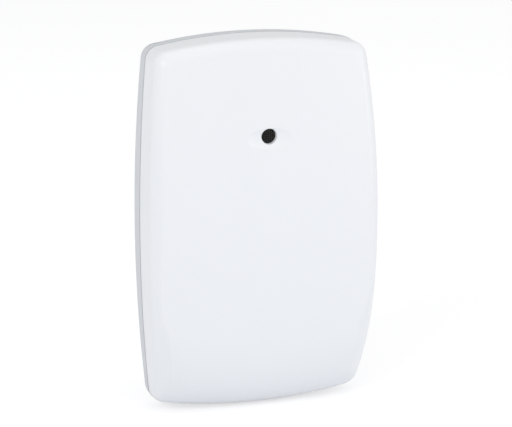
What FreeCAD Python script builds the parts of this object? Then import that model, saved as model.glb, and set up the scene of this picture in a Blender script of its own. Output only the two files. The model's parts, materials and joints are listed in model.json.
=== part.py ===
import FreeCAD, Part
import math
import os
from FreeCAD import Vector

# A wall-mounted acoustic glass break sensor, in millimetres.
# X runs to the right, Y into the wall and Z up. The wall is the plane Y = 0, and the origin
# is on it, at the middle of the case. A "depth" is a distance from the wall into the room.

# Outline of the case from the front: four large arcs joined by small corner arcs
HEIGHT = 99.0
WIDTH = 62.0
SIDE_RADIUS = 382.0
TOP_RADIUS = 135.0
BOTTOM_RADIUS = 180.0
TOP_CORNER = 4.0
BOTTOM_CORNER = 4.2
LEAST_CORNER = 0.4

# Crowned front, with a chin that falls away towards the bottom arc
DEPTH = 21.0
CROWN_RADIUS = 237.0
CROWN_PEAK = 1.0
CROSS_RADIUS = 185.0
CHIN_HEIGHT = 24.0
CHIN_DROP = 6.2

# Parting line between cover and base, an arc seen from the side
PARTING_DEPTH = 7.0
PARTING_PEAK = 5.3
PARTING_BOTTOM = 2.7
SEAM = 0.3

# Section of the sides: the base is widest at the parting line and curves in towards the wall,
# and the cover stands a step inside it and leans in up to the rounding of its front edge
BASE_BULGE = 53.0
BASE_STRIPS = 3
COVER_STEP = 0.15
COVER_LEAN = 0.1
EDGE_ROUND = 3.1
EDGE_STRIPS = 5
STRIP_OVERRUN = 0.8

# Shells
WALL = 2.0
CHIN_WALL = 2.4
CHIN_FOOT_WALL = 3.2
FLOOR = 2.0
TONGUE_HEIGHT = 1.5
TONGUE_INSET = 1.2
TONGUE_GAP = 0.3

# Hooks at the top, which the cover swings on, and the spring catch at the bottom
HOOK_X = 9.0
HOOK_WIDTH = 6.0
HOOK_THICKNESS = 1.5
HOOK_DROP = 4.2
HOOK_HEAD = 0.9
HOOK_REACH = 4.2
HOOK_HEAD_LENGTH = 1.4
LEDGE_WIDTH = 7.0
LEDGE_THICKNESS = 1.4
LEDGE_GAP = 0.3
CATCH_WIDTH = 8.0
CATCH_THICKNESS = 1.2
CATCH_HEAD = 0.45
CATCH_REACH = 4.4
CATCH_HEAD_LENGTH = 1.2
CATCH_GAP = 0.2
CATCH_RIB = 0.6
CATCH_RIB_THICKNESS = 1.0

# Fixing to the wall
WALL_SCREW_FROM_SIDE = 13.5
WALL_SCREW_FROM_END = 8.0
WALL_SCREW_RADIUS = 2.1
WIRE_ENTRY_WIDTH = 20.0
WIRE_ENTRY_HEIGHT = 5.6
WIRE_ENTRY_FROM_BOTTOM = 8.9
ENTRY_CORNER = 1.2

# Circuit board, held by two screws and two ribs
BOARD_TOP_BAY = 12.0
BOARD_BOTTOM_BAY = 13.0
BOARD_GAP = 1.2
BOARD_CORNER = 2.0
BOARD_THICKNESS = 1.6
STANDOFF = 2.2
BOARD_SCREW_EDGE = 3.6
BOARD_SCREW_RADIUS = 1.05
BOARD_SCREW_HOLE = 1.35
BOARD_SCREW_HEAD = 2.2
BOARD_SCREW_HEAD_HEIGHT = 1.4
BOSS_RADIUS = 2.6
THREAD_GAP = 0.05
RIB_LENGTH = 9.0
RIB_THICKNESS = 1.4
PIN = 0.5
PIN_TAIL = 1.0
PIN_GAP = 0.1

# Sound port, microphone and lamps
PORT_BELOW_TOP = 24.5
PORT_RADIUS = 2.0
PORT_ROUND = 0.35
SCOOP_LENGTH = 13.5
SCOOP_HEIGHT = 5.6
SCOOP_DEPTH = 0.7
MESH_RADIUS = 2.6
MESH_THICKNESS = 0.3
MESH_HOLE = 0.5
MESH_PITCH = 0.8
MESH_GAP = 0.1
CAPSULE_RADIUS = 3.0
CAPSULE_HEIGHT = 5.0
BOOT_WALL = 1.3
BOOT_LIP = 0.5
BOOT_GAP = 0.3
LEAD_SPREAD = 1.25
LAMP_X = 6.3
LAMP = (1.6, 3.0, 1.1)
GUIDE_WIDTH = 3.0
GUIDE_THICKNESS = 1.8
GUIDE_FOOT = 0.6
GUIDE_GAP = 0.8

# Terminal block
TERMINALS = 6
TERMINAL_PITCH = 5.0
TERMINAL_DEPTH = 7.6
TERMINAL_HEIGHT = 8.2
TERMINAL_EDGE = 2.0
TERMINAL_END = 0.8
TERMINAL_BEVEL = 1.8
WELL_RADIUS = 1.7
WELL_BACK = 3.6
MOUTH = 3.2
MOUTH_SILL = 0.8
MOUTH_DEPTH = 5.6
CLAMP_WALL = 0.4
CLAMP_LENGTH = 3.2
CLAMP_GAP = 0.1
CLAMP_SCREW_RADIUS = 1.0
CLAMP_SCREW_BELOW_TOP = 1.6
CLAMP_SCREW_REACH = 0.6

# Tamper switch, placed from the board's right edge and below the sound port
TAMPER_FROM_RIGHT = 6.5
TAMPER_BELOW_PORT = 12.5
TAMPER_SIZE = 6.2
TAMPER_HEIGHT = 4.2
TAMPER_ROUND = 0.6
TAMPER_WALL = 0.8
PLUNGER_WIDTH = 3.0
PLUNGER_PROUD = 0.6
PLUNGER_COLLAR = 0.6
RUNNING_GAP = 0.08
POST_SPAN = 5.0
POST_RIB = 1.4
POST_GAP = 0.05

# Bank of slide switches
BANK_FROM_LEFT = 9.0
BANK_BELOW_PORT = 19.5
BANK_HEIGHT = 3.4
BANK_DEPTH = 6.2
SLIDERS = 4
SLIDER_PITCH = 2.54
SLIDER_WIDTH = 1.2
SLIDER_LENGTH = 1.4
SLIDER_TRAVEL = 1.5
SLIDER_PROUD = 0.7
SLIDER_GAP = 0.15
SLIDER_SLOT_DEPTH = 1.6
SLIDERS_UP = (False, True, False, False)

# Other parts on the board, placed from its edges or below the sound port
RELAY = (12.6, 7.6, 9.0)
RELAY_FROM_LEFT = 8.0
RELAY_FROM_TOP = 15.5
RELAY_ROUND = 0.6
RELAY_FEET = 4
RELAY_PITCH = 3.2
CONTROLLER_X = 2.5
CONTROLLER_BELOW_PORT = 17.5
CONTROLLER_WIDTH = 7.5
CONTROLLER_LEGS = 10
AMPLIFIER_FROM_RIGHT = 10.5
AMPLIFIER_FROM_TOP = 10.5
AMPLIFIER_WIDTH = 3.9
AMPLIFIER_LEGS = 4
CHIP_PITCH = 1.27
CHIP_HEIGHT = 2.3
CHIP_LIFT = 0.15
LEG_WIDTH = 0.45
LEG_THICKNESS = 0.22
LEG_BEND = 0.6
LEG_REACH = 1.3
FOOT = (0.6, 1.2, 0.3)
CANS = 2
CAN_RADIUS = 3.15
CAN_HEIGHT = 5.8
CAN_BASE = 0.9
CAN_MARGIN = 0.2
CAN_FROM_LEFT = 7.0
CAN_BELOW_PORT = 33.5
CAN_PITCH = 8.5
CRYSTAL = (10.8, 4.6, 3.5)
CRYSTAL_FROM_RIGHT = 8.0
CRYSTAL_BELOW_PORT = 23.0
REGULATOR = (6.6, 6.1, 2.3)
REGULATOR_FROM_RIGHT = 7.0
REGULATOR_BELOW_PORT = 34.0
REGULATOR_LEG_SPREAD = 2.3
TAB_LENGTH = 1.2
TAB_THICKNESS = 0.5
SUPPRESSOR_FROM_RIGHT = 17.0
SUPPRESSOR_BELOW_PORT = 37.5
SUPPRESSOR_RADIUS = 3.5
SUPPRESSOR_THICKNESS = 3.2
SUPPRESSOR_LIFT = 1.4
SUPPRESSOR_SPREAD = 2.5
DIODE = (4.2, 2.6, 2.2)
DIODES = 3
DIODE_X = 0.5
DIODE_BELOW_PORT = 31.5
DIODE_PITCH = 3.8
SMALL_CHIP = (2.0, 1.25, 0.6)
SMALL_CHIP_PITCH = 3.6
SMALL_ROW_OFFSET = 8.0
SMALL_ROW = 4
CAPACITOR_HEIGHT = 0.9
DECOUPLING_OFFSET = 5.2
LAMP_RESISTORS = 2
LAMP_RESISTOR_ABOVE = 4.6
LAMP_RESISTOR_PITCH = 2.4
BANK_RESISTOR_BELOW = 6.6
END_CAP = 0.4

# How far a cutting tool reaches past what it cuts
REACH = 4.0

half_width = WIDTH / 2
half_height = HEIGHT / 2
bottom_centre = BOTTOM_RADIUS - half_height
board_back = FLOOR + STANDOFF
board_front = board_back + BOARD_THICKNESS
board_top = half_height - BOARD_TOP_BAY
board_bottom = -half_height + BOARD_BOTTOM_BAY
port_z = half_height - PORT_BELOW_TOP
tail_depth = board_back - PIN_TAIL

# The crowned front is drawn through a grid of this many points
crown_rows, crown_columns = 23, 5


def box(x0, x1, z0, z1, d0, d1):
    """A block between two depths."""
    return Part.makeBox(x1 - x0, d1 - d0, z1 - z0, Vector(x0, -d1, z0))


def block_at(x, z, size, depth):
    """A block of size (along X, along Z, height) that stands on a depth, centred on x and z."""
    length, width, height = size
    return box(x - length / 2, x + length / 2, z - width / 2, z + width / 2, depth, depth + height)


def rod(x, z, radius, d0, d1):
    """A round bar square to the wall, between two depths."""
    return Part.makeCylinder(radius, d1 - d0, Vector(x, -d0, z), Vector(0, -1, 0))


def pin(x, z, d0, d1, side=PIN):
    """A square wire square to the wall."""
    return box(x - side / 2, x + side / 2, z - side / 2, z + side / 2, d0, d1)


def fuse_all(shapes):
    """One solid from shapes that touch."""
    whole = shapes[0]
    for shape in shapes[1:]:
        whole = whole.fuse(shape)
    return whole.removeSplitter()


def corner_centre(side, end, radius):
    """Centre of the corner arc that touches a side arc and an end arc from within."""
    ax, az, a_reach = side[0], side[1], side[2] - radius
    bx, bz, b_reach = end[0], end[1], end[2] - radius
    apart = math.hypot(bx - ax, bz - az)
    along = (apart ** 2 + a_reach ** 2 - b_reach ** 2) / (2 * apart)
    across = math.sqrt(a_reach ** 2 - along ** 2)
    ux, uz = (bx - ax) / apart, (bz - az) / apart
    return max((ax + along * ux - s * across * uz, az + along * uz + s * across * ux) for s in (1, -1))


def outline_arcs(inset):
    """The eight arcs of the outline moved inwards: centre x, centre z, radius, start and end angle."""
    side = (half_width - SIDE_RADIUS, 0.0, SIDE_RADIUS - inset)
    top = (0.0, half_height - TOP_RADIUS, TOP_RADIUS - inset)
    bottom = (0.0, bottom_centre, BOTTOM_RADIUS - inset)
    top_r = max(TOP_CORNER - inset, LEAST_CORNER)
    bottom_r = max(BOTTOM_CORNER - inset, LEAST_CORNER)
    tx, tz = corner_centre(side, top, top_r)
    bx, bz = corner_centre(side, bottom, bottom_r)
    side_up = math.atan2(tz, tx - side[0])
    top_start = math.atan2(tz - top[1], tx)
    side_down = math.atan2(bz, bx - side[0])
    bottom_end = math.atan2(bz - bottom[1], bx)
    half, full = math.pi, 2 * math.pi
    return [
        (side[0], 0.0, side[2], side_down, side_up),
        (tx, tz, top_r, side_up, top_start),
        (0.0, top[1], top[2], top_start, half - top_start),
        (-tx, tz, top_r, half - top_start, half - side_up),
        (-side[0], 0.0, side[2], half - side_up, half - side_down),
        (-bx, bz, bottom_r, half - side_down, half - bottom_end),
        (0.0, bottom[1], bottom[2], half - bottom_end, full + bottom_end),
        (bx, bz, bottom_r, full + bottom_end, full + side_down),
    ]


def flat_wire(inset, depth):
    """The outline at one depth."""
    edges = []
    for x, z, radius, start, end in outline_arcs(inset):
        angles = (start, (start + end) / 2, end)
        points = [Vector(x + radius * math.cos(a), -depth, z + radius * math.sin(a)) for a in angles]
        edges.append(Part.Arc(*points).toShape())
    return Part.Wire(edges)


def surface_wire(inset, depth_at):
    """The outline drawn on a curved surface, whose depth at a point is depth_at(x, z)."""
    steps = 4
    edges = []
    for x, z, radius, start, end in outline_arcs(inset):
        points = []
        for i in range(steps + 1):
            angle = start + (end - start) * i / steps
            px, pz = x + radius * math.cos(angle), z + radius * math.sin(angle)
            points.append(Vector(px, -depth_at(px, pz), pz))
        curve = Part.BSplineCurve()
        curve.interpolate(points)
        edges.append(curve.toShape())
    return Part.Wire(edges)


def slab(inset, d0, d1):
    """The outline as a solid between two depths."""
    return Part.Face(flat_wire(inset, d0)).extrude(Vector(0, d0 - d1, 0))


def front_depth(x, z):
    """How far the front stands from the wall at a point of the outline."""
    above = BOTTOM_RADIUS - math.hypot(x, z - bottom_centre)
    chin = CHIN_DROP * max(0.0, 1 - above / CHIN_HEIGHT) ** 3
    return DEPTH - (z - CROWN_PEAK) ** 2 / (2 * CROWN_RADIUS) - x ** 2 / (2 * CROSS_RADIUS) - chin


def parting_radius():
    """Radius of the parting line's arc, from its depths at the peak and at the bottom."""
    fall = PARTING_DEPTH - PARTING_BOTTOM
    return ((half_height + PARTING_PEAK) ** 2 + fall ** 2) / (2 * fall)


def parting_depth(z):
    """Depth of the line where cover and base meet."""
    radius = parting_radius()
    return PARTING_DEPTH - radius + math.sqrt(radius ** 2 - (z - PARTING_PEAK) ** 2)


def behind_front():
    """All the space behind the crowned front."""
    xs = [(i / (crown_columns - 1) - 0.5) * (WIDTH + 2 * REACH) for i in range(crown_columns)]
    zs = [(i / (crown_rows - 1) - 0.5) * (HEIGHT + 2 * REACH) for i in range(crown_rows)]
    surface = Part.BSplineSurface()
    surface.interpolate([[Vector(x, -front_depth(x, z), z) for z in zs] for x in xs])
    return surface.toShape().extrude(Vector(0, DEPTH + REACH, 0))


def behind_parting(offset):
    """All the space behind the parting surface, which is moved into the room by offset."""
    start = Vector(-WIDTH, parting_radius() - PARTING_DEPTH, PARTING_PEAK)
    return Part.makeCylinder(parting_radius() + offset, 2 * WIDTH, start, Vector(1, 0, 0))


def edge_section():
    """Section of the cover's front edge: pairs of inset and drop below the front."""
    wall = front_depth(half_width, 0) - EDGE_ROUND - PARTING_DEPTH
    lean = math.atan(COVER_LEAN / wall)
    turn = (math.pi / 2 - lean) / EDGE_STRIPS
    start = COVER_STEP + COVER_LEAN + EDGE_ROUND * math.cos(lean)
    section = []
    for i in range(EDGE_STRIPS):
        angle = lean + turn * i
        section.append((start - EDGE_ROUND * math.cos(angle), EDGE_ROUND * (1 - math.sin(angle))))
    return section + [(start + STRIP_OVERRUN, -STRIP_OVERRUN * math.tan(turn / 2))]


def rounded_block():
    """The cover's walls with their rounding, open above the crown: a loft through copies of the outline."""
    wires = [flat_wire(COVER_STEP, 0), surface_wire(COVER_STEP, lambda x, z: parting_depth(z))]
    for inset, drop in edge_section():
        wires.append(surface_wire(inset, lambda x, z: front_depth(x, z) - drop))
    wires.append(flat_wire(inset, DEPTH + REACH))
    return Part.makeLoft(wires, True, True)


def bulged_block():
    """The base's block, whose sides curve in behind the parting line."""
    wires = [flat_wire(0, PARTING_DEPTH + REACH)]
    for i in range(1, BASE_STRIPS + 1):
        back = (PARTING_DEPTH + SEAM) * i / BASE_STRIPS
        inset = BASE_BULGE - math.sqrt(BASE_BULGE ** 2 - back ** 2)
        wires.append(surface_wire(inset, lambda x, z: parting_depth(z) - back))
    wires.append(flat_wire(inset, -DEPTH))
    room = box(-WIDTH, WIDTH, -HEIGHT, HEIGHT, 0, DEPTH)
    return Part.makeLoft(wires, True, True).common(room)


def inner_ball():
    """A ball whose skin lies one wall behind the crown."""
    radius = (CROWN_RADIUS + CROSS_RADIUS) / 2 - WALL
    return Part.makeSphere(radius, Vector(0, radius - DEPTH + WALL, CROWN_PEAK), Vector(0, 0, 1))


def inner_depth(x, z):
    """Depth of the cover's inner face, away from the chin."""
    radius = (CROWN_RADIUS + CROSS_RADIUS) / 2 - WALL
    return DEPTH - WALL - radius + math.sqrt(radius ** 2 - x ** 2 - (z - CROWN_PEAK) ** 2)


def inner_chin():
    """A cone along the bottom arc that follows the chin from within."""
    low, high = WALL, CHIN_HEIGHT / 2
    low_depth = front_depth(0, low - half_height) - CHIN_FOOT_WALL
    high_depth = front_depth(0, high - half_height) - CHIN_WALL
    slope = (high_depth - low_depth) / (high - low)
    wide = BOTTOM_RADIUS - low + low_depth / slope
    tall = DEPTH + REACH
    return Part.makeCone(wide, wide - tall / slope, tall, Vector(0, 0, bottom_centre), Vector(0, -1, 0))


def cover_catch():
    """The rib in the bottom wall that the base's spring finger holds."""
    back = parting_depth(-half_height) + SEAM + TONGUE_HEIGHT + TONGUE_GAP
    bottom, top = -half_height + TONGUE_INSET, -half_height + WALL + CATCH_RIB
    return box(-CATCH_WIDTH / 2, CATCH_WIDTH / 2, bottom, top, back, back + CATCH_RIB_THICKNESS)


def cover_ledges():
    """The two ledges under the top wall that hang on the base's hooks."""
    back = parting_depth(half_height) + SEAM + TONGUE_HEIGHT + TONGUE_GAP
    low = half_height - HOOK_DROP + LEDGE_GAP
    ledges = []
    for x in (-HOOK_X, HOOK_X):
        x0, x1 = x - LEDGE_WIDTH / 2, x + LEDGE_WIDTH / 2
        ledge = box(x0, x1, low, half_height, back, back + LEDGE_THICKNESS)
        ledges.append(ledge.common(slab(TONGUE_INSET, 0, DEPTH)))
    return ledges


def scoop_tool():
    """A barrel that presses the eye-shaped scoop into the front."""
    face = front_depth(0, port_z)
    flat_x = SCOOP_DEPTH / (SCOOP_LENGTH / 2) ** 2 + 1 / (2 * CROSS_RADIUS)
    flat_z = SCOOP_DEPTH / (SCOOP_HEIGHT / 2) ** 2 + 1 / (2 * CROWN_RADIUS)
    long_radius, short_radius = 1 / (2 * flat_x), 1 / (2 * flat_z)
    centre = Vector(0, SCOOP_DEPTH - face - long_radius, port_z)
    return Part.makeTorus(long_radius - short_radius, short_radius, centre, Vector(0, 0, 1))


def port_rim(shell):
    """The front edges of the sound port."""
    rim = []
    for edge in shell.Edges:
        ends = [v.Point for v in edge.Vertexes]
        around = all(abs(math.hypot(p.x, p.z - port_z) - PORT_RADIUS) < SEAM for p in ends)
        if around and all(-p.y > inner_depth(0, port_z) + WALL / 4 for p in ends):
            rim.append(edge)
    return rim


def front_cover():
    """The crowned outer shell."""
    outer = rounded_block().common(behind_front())
    hollow = slab(WALL, -REACH, DEPTH).common(inner_ball()).common(inner_chin())
    relief = slab(TONGUE_INSET - TONGUE_GAP, -REACH, DEPTH).common(
        behind_parting(SEAM + TONGUE_HEIGHT + TONGUE_GAP))
    shell = outer.cut(hollow).cut(behind_parting(SEAM)).cut(relief)
    shell = shell.cut(scoop_tool())
    shell = fuse_all([shell, cover_catch()] + tamper_post() + cover_ledges())
    shell = shell.cut(rod(0, port_z, PORT_RADIUS, 0, DEPTH + REACH))
    shell = shell.makeFillet(PORT_ROUND, port_rim(shell))
    seat = inner_depth(0, port_z) - REACH
    return shell.cut(rod(0, port_z, MESH_RADIUS + MESH_GAP, seat, mesh_back() + MESH_THICKNESS))


def tamper_place():
    """Centre of the tamper switch."""
    return board_half_width() - TAMPER_FROM_RIGHT, port_z - TAMPER_BELOW_PORT


def tamper_post():
    """A post of crossed ribs that presses the tamper switch."""
    x, z = tamper_place()
    root = inner_depth(x, z) + WALL / 2
    tip = plunger_tip() + POST_GAP
    sizes = ((POST_SPAN, POST_RIB), (POST_RIB, POST_SPAN))
    return [block_at(x, z, (length, width, root - tip), tip) for length, width in sizes]


def mesh_back():
    """Depth of the port mesh's rear face, level with the cover's inner face."""
    return inner_depth(MESH_RADIUS, port_z)


def port_mesh():
    """A disc of square mesh, seated in the rear of the sound port."""
    disc = rod(0, port_z, MESH_RADIUS, mesh_back(), mesh_back() + MESH_THICKNESS)
    reach = int(MESH_RADIUS / MESH_PITCH)
    holes = []
    for i in range(-reach, reach + 1):
        for k in range(-reach, reach + 1):
            x, z = i * MESH_PITCH, k * MESH_PITCH
            if math.hypot(x, z) + MESH_HOLE < MESH_RADIUS:
                holes.append(pin(x, port_z + z, 0, DEPTH, MESH_HOLE))
    return disc.cut(Part.makeCompound(holes))


def board_half_width():
    """Half the board's width, from the case wall at the board's upper corners."""
    side = half_width - SIDE_RADIUS + math.sqrt(SIDE_RADIUS ** 2 - board_top ** 2)
    return side - WALL - BOARD_GAP


def board_corners():
    """Centres of the corner places on the board, from the lower left one round to the upper left one."""
    x = board_half_width() - BOARD_SCREW_EDGE
    low, high = board_bottom + BOARD_SCREW_EDGE, board_top - BOARD_SCREW_EDGE
    return [(-x, low), (x, low), (x, high), (-x, high)]


def board_screw_places():
    """Two opposite corners take screws."""
    return board_corners()[::2]


def board_rib_places():
    """The other two corners rest on ribs."""
    return board_corners()[1::2]


def wall_screw_places():
    """Centres of the four wall screws."""
    x, z = half_width - WALL_SCREW_FROM_SIDE, half_height - WALL_SCREW_FROM_END
    return [(side * x, end * z) for side in (-1, 1) for end in (-1, 1)]


def wire_entry(d0, d1):
    """The rounded opening below the board, where the wires come out of the wall."""
    middle = WIRE_ENTRY_FROM_BOTTOM - half_height
    x, z = WIRE_ENTRY_WIDTH / 2, WIRE_ENTRY_HEIGHT / 2
    hole = box(-x, x, middle - z, middle + z, d0, d1)
    upright = [e for e in hole.Edges if abs(e.Vertexes[0].Y - e.Vertexes[1].Y) > d1 - d0 - SEAM]
    return hole.makeFillet(ENTRY_CORNER, upright)


def base_hooks():
    """Two hooks at the top that the cover's ledges hang on."""
    top = half_height - HOOK_DROP
    head = parting_depth(half_height) + HOOK_REACH
    hooks = []
    for x in (-HOOK_X, HOOK_X):
        x0, x1 = x - HOOK_WIDTH / 2, x + HOOK_WIDTH / 2
        hooks.append(box(x0, x1, top - HOOK_THICKNESS, top, FLOOR / 2, head + HOOK_HEAD_LENGTH))
        hooks.append(box(x0, x1, top - HOOK_THICKNESS, top + HOOK_HEAD, head, head + HOOK_HEAD_LENGTH))
    return hooks


def base_catch():
    """The spring finger at the bottom, with its head over the cover's rib."""
    low = -half_height + WALL + CATCH_RIB + CATCH_GAP
    foot = low + CATCH_HEAD
    head = parting_depth(-half_height) + CATCH_REACH - CATCH_HEAD_LENGTH
    x = CATCH_WIDTH / 2 - SEAM
    finger = box(-x, x, foot, foot + CATCH_THICKNESS, FLOOR / 2, head + CATCH_HEAD_LENGTH)
    return [finger, box(-x, x, low, foot + CATCH_THICKNESS, head, head + CATCH_HEAD_LENGTH)]


def rear_base():
    """The tray that is screwed to the wall."""
    tray = bulged_block().common(behind_parting(0))
    tray = tray.cut(slab(WALL, FLOOR, DEPTH))
    tongue = slab(TONGUE_INSET, FLOOR / 2, DEPTH).cut(slab(WALL, 0, DEPTH + REACH))
    pieces = [tray, tongue.common(behind_parting(TONGUE_HEIGHT))]
    pieces += [rod(x, z, BOSS_RADIUS, FLOOR / 2, board_back) for x, z in board_screw_places()]
    rib = (RIB_THICKNESS, RIB_LENGTH, board_back - FLOOR / 2)
    pieces += [block_at(x, z, rib, FLOOR / 2) for x, z in board_rib_places()]
    tray = fuse_all(pieces + base_hooks() + base_catch())
    for x, z in wall_screw_places():
        tray = tray.cut(rod(x, z, WALL_SCREW_RADIUS, -REACH, DEPTH))
    for x, z in board_screw_places():
        tray = tray.cut(rod(x, z, BOARD_SCREW_RADIUS + THREAD_GAP, FLOOR / 2, DEPTH))
    return tray.cut(wire_entry(-REACH, DEPTH))


def board_cuts():
    """Tools for the board's holes: round for its screws, square like the pins for all leads."""
    cuts = [rod(x, z, BOARD_SCREW_HOLE, 0, DEPTH) for x, z in board_screw_places()]
    cuts += [pin(x, z, 0, DEPTH, 2 * PIN + PIN_GAP) for x, z in terminal_places()]
    return cuts + [pin(x, z, 0, DEPTH, PIN + PIN_GAP) for x, z in lead_places()]


def circuit_board():
    """The board, with holes for its screws and for every lead that goes through it."""
    x = board_half_width()
    board = box(-x, x, board_bottom, board_top, board_back, board_front)
    upright = [e for e in board.Edges if abs(e.Vertexes[0].Y - e.Vertexes[1].Y) > BOARD_THICKNESS / 2]
    board = board.makeFillet(BOARD_CORNER, upright)
    return board.cut(Part.makeCompound(board_cuts()))


def board_screws():
    """Two pan-head screws through the board into the bosses."""
    screws = []
    for x, z in board_screw_places():
        shank = rod(x, z, BOARD_SCREW_RADIUS, FLOOR / 2 + SEAM, board_front)
        head = rod(x, z, BOARD_SCREW_HEAD, board_front, board_front + BOARD_SCREW_HEAD_HEIGHT)
        screws.append(shank.fuse(head).removeSplitter())
    return Part.makeCompound(screws)


def boot_front():
    """Depth of the rubber boot's front lip, just behind the cover."""
    return inner_depth(0, port_z + CAPSULE_RADIUS + BOOT_WALL) - BOOT_GAP


def suppressor_place():
    """Centre of the surge suppressor."""
    return board_half_width() - SUPPRESSOR_FROM_RIGHT, port_z - SUPPRESSOR_BELOW_PORT


def lead_places():
    """Where the leads of the microphone and the surge suppressor go through the board."""
    x, z = suppressor_place()
    places = [(side * LEAD_SPREAD, port_z) for side in (-1, 1)]
    return places + [(x + side * SUPPRESSOR_SPREAD, z) for side in (-1, 1)]


def microphone_capsule():
    """The metal can of the microphone."""
    top = boot_front() - BOOT_LIP
    return rod(0, port_z, CAPSULE_RADIUS, top - CAPSULE_HEIGHT, top)


def microphone_leads():
    """The two leads of the capsule."""
    foot = boot_front() - BOOT_LIP - CAPSULE_HEIGHT
    return Part.makeCompound([pin(side * LEAD_SPREAD, port_z, tail_depth, foot) for side in (-1, 1)])


def microphone_boot():
    """The rubber sleeve that holds the capsule and leads sound to it."""
    top = boot_front()
    sleeve = rod(0, port_z, CAPSULE_RADIUS + BOOT_WALL, board_front, top)
    sleeve = sleeve.cut(rod(0, port_z, CAPSULE_RADIUS + THREAD_GAP, board_front, top - BOOT_LIP))
    return sleeve.cut(rod(0, port_z, PORT_RADIUS, board_front, top))


def lamp(x):
    """A flat surface-mounted lamp."""
    return block_at(x, port_z, LAMP, board_front)


def light_guide(x):
    """A clear bar that stands astride its lamp and ends behind the scoop."""
    half, foot = GUIDE_WIDTH / 2, GUIDE_WIDTH / 2 - GUIDE_FOOT
    top = inner_depth(x, port_z) - GUIDE_GAP
    arch = board_front + LAMP[2] + GUIDE_GAP / 2
    profile = [(-half, board_front), (-half, top), (half, top), (half, board_front),
               (foot, board_front), (foot, arch), (-foot, arch), (-foot, board_front)]
    points = [Vector(x + across, -depth, port_z - GUIDE_THICKNESS / 2) for across, depth in profile]
    return Part.Face(Part.makePolygon(points + points[:1])).extrude(Vector(0, 0, GUIDE_THICKNESS))


def light_guides():
    """Both light guides."""
    return Part.makeCompound([light_guide(x) for x in (-LAMP_X, LAMP_X)])


def terminal_xs():
    """The middle of each terminal across the block."""
    return [(i - (TERMINALS - 1) / 2) * TERMINAL_PITCH for i in range(TERMINALS)]


def terminal_front_z():
    """Z of the face that the wires enter, near the board's lower edge."""
    return board_bottom + TERMINAL_EDGE


def terminal_places():
    """Where the terminal pins go through the board."""
    return [(x, terminal_front_z() + WELL_BACK) for x in terminal_xs()]


def clamp_top():
    """Depth of the clamps' upper face, which is also the floor of the screw wells."""
    return board_front + MOUTH_SILL + MOUTH


def terminal_block():
    """The housing, with a mouth for each wire and a well for each screw."""
    z0 = terminal_front_z()
    z1 = z0 + TERMINAL_DEPTH
    top = board_front + TERMINAL_HEIGHT
    profile = [(z0, board_front), (z0, top - TERMINAL_BEVEL), (z0 + TERMINAL_BEVEL / 2, top),
               (z1 - TERMINAL_END, top), (z1, top - TERMINAL_END), (z1, board_front)]
    half = TERMINALS * TERMINAL_PITCH / 2 + TERMINAL_END / 2
    points = [Vector(-half, -depth, z) for z, depth in profile]
    block = Part.Face(Part.makePolygon(points + points[:1])).extrude(Vector(2 * half, 0, 0))
    sill = board_front + MOUTH_SILL
    tools = []
    for x, z in terminal_places():
        tools.append(rod(x, z, WELL_RADIUS, clamp_top(), top + REACH))
        tools.append(box(x - MOUTH / 2, x + MOUTH / 2, z0 - REACH, z0 + MOUTH_DEPTH, sill, clamp_top()))
        tools.append(pin(x, z, 0, top, 2 * PIN))
    for tool in tools:
        block = block.cut(tool)
    return block


def terminal_clamps():
    """A square metal cage in each mouth, open to the wire, with a square hole for its screw."""
    cages = []
    sill = board_front + MOUTH_SILL
    half = MOUTH / 2 - CLAMP_GAP
    inner = half - CLAMP_WALL
    for x, z in terminal_places():
        z0, z1 = z - CLAMP_LENGTH / 2, z + CLAMP_LENGTH / 2
        cage = box(x - half, x + half, z0, z1, sill, clamp_top())
        cage = cage.cut(box(x - inner, x + inner, z0, z1, sill + CLAMP_WALL, clamp_top() - CLAMP_WALL))
        bore = 2 * (CLAMP_SCREW_RADIUS + THREAD_GAP)
        cages.append(cage.cut(pin(x, z, clamp_top() - CLAMP_WALL, DEPTH, bore)))
    return Part.makeCompound(cages)


def terminal_screws():
    """A headless screw down each well, through the top of its clamp."""
    top = board_front + TERMINAL_HEIGHT - CLAMP_SCREW_BELOW_TOP
    tip = clamp_top() - CLAMP_WALL - CLAMP_SCREW_REACH
    return Part.makeCompound([rod(x, z, CLAMP_SCREW_RADIUS, tip, top) for x, z in terminal_places()])


def terminal_pins():
    """The solder pin under each clamp."""
    sill = board_front + MOUTH_SILL
    return Part.makeCompound([pin(x, z, tail_depth, sill, 2 * PIN) for x, z in terminal_places()])


def plunger_tip():
    """Depth of the plunger's tip while the cover presses it."""
    return board_front + TAMPER_HEIGHT + PLUNGER_PROUD


def tamper_switch():
    """The switch housing, with a square bore for its plunger and room for the plunger's collar."""
    x, z = tamper_place()
    body = block_at(x, z, (TAMPER_SIZE, TAMPER_SIZE, TAMPER_HEIGHT), board_front)
    upright = [e for e in body.Edges if abs(e.Vertexes[0].Y - e.Vertexes[1].Y) > TAMPER_HEIGHT / 2]
    body = body.makeChamfer(TAMPER_ROUND, upright)
    narrow = PLUNGER_WIDTH + 2 * RUNNING_GAP
    wide = narrow + 2 * PLUNGER_COLLAR
    room = TAMPER_HEIGHT - 2 * TAMPER_WALL
    foot = board_front + TAMPER_WALL
    body = body.cut(block_at(x, z, (wide, wide, room), foot))
    return body.cut(block_at(x, z, (narrow, narrow, TAMPER_HEIGHT), foot))


def tamper_plunger():
    """The button, with a collar that keeps it in the housing."""
    x, z = tamper_place()
    foot = board_front + TAMPER_WALL + RUNNING_GAP
    wide = PLUNGER_WIDTH + 2 * PLUNGER_COLLAR
    stem = block_at(x, z, (PLUNGER_WIDTH, PLUNGER_WIDTH, plunger_tip() - foot), foot)
    return fuse_all([stem, block_at(x, z, (wide, wide, PLUNGER_COLLAR), foot)])


def bank_place():
    """Centre of the switch bank."""
    return BANK_FROM_LEFT - board_half_width(), port_z - BANK_BELOW_PORT


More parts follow.
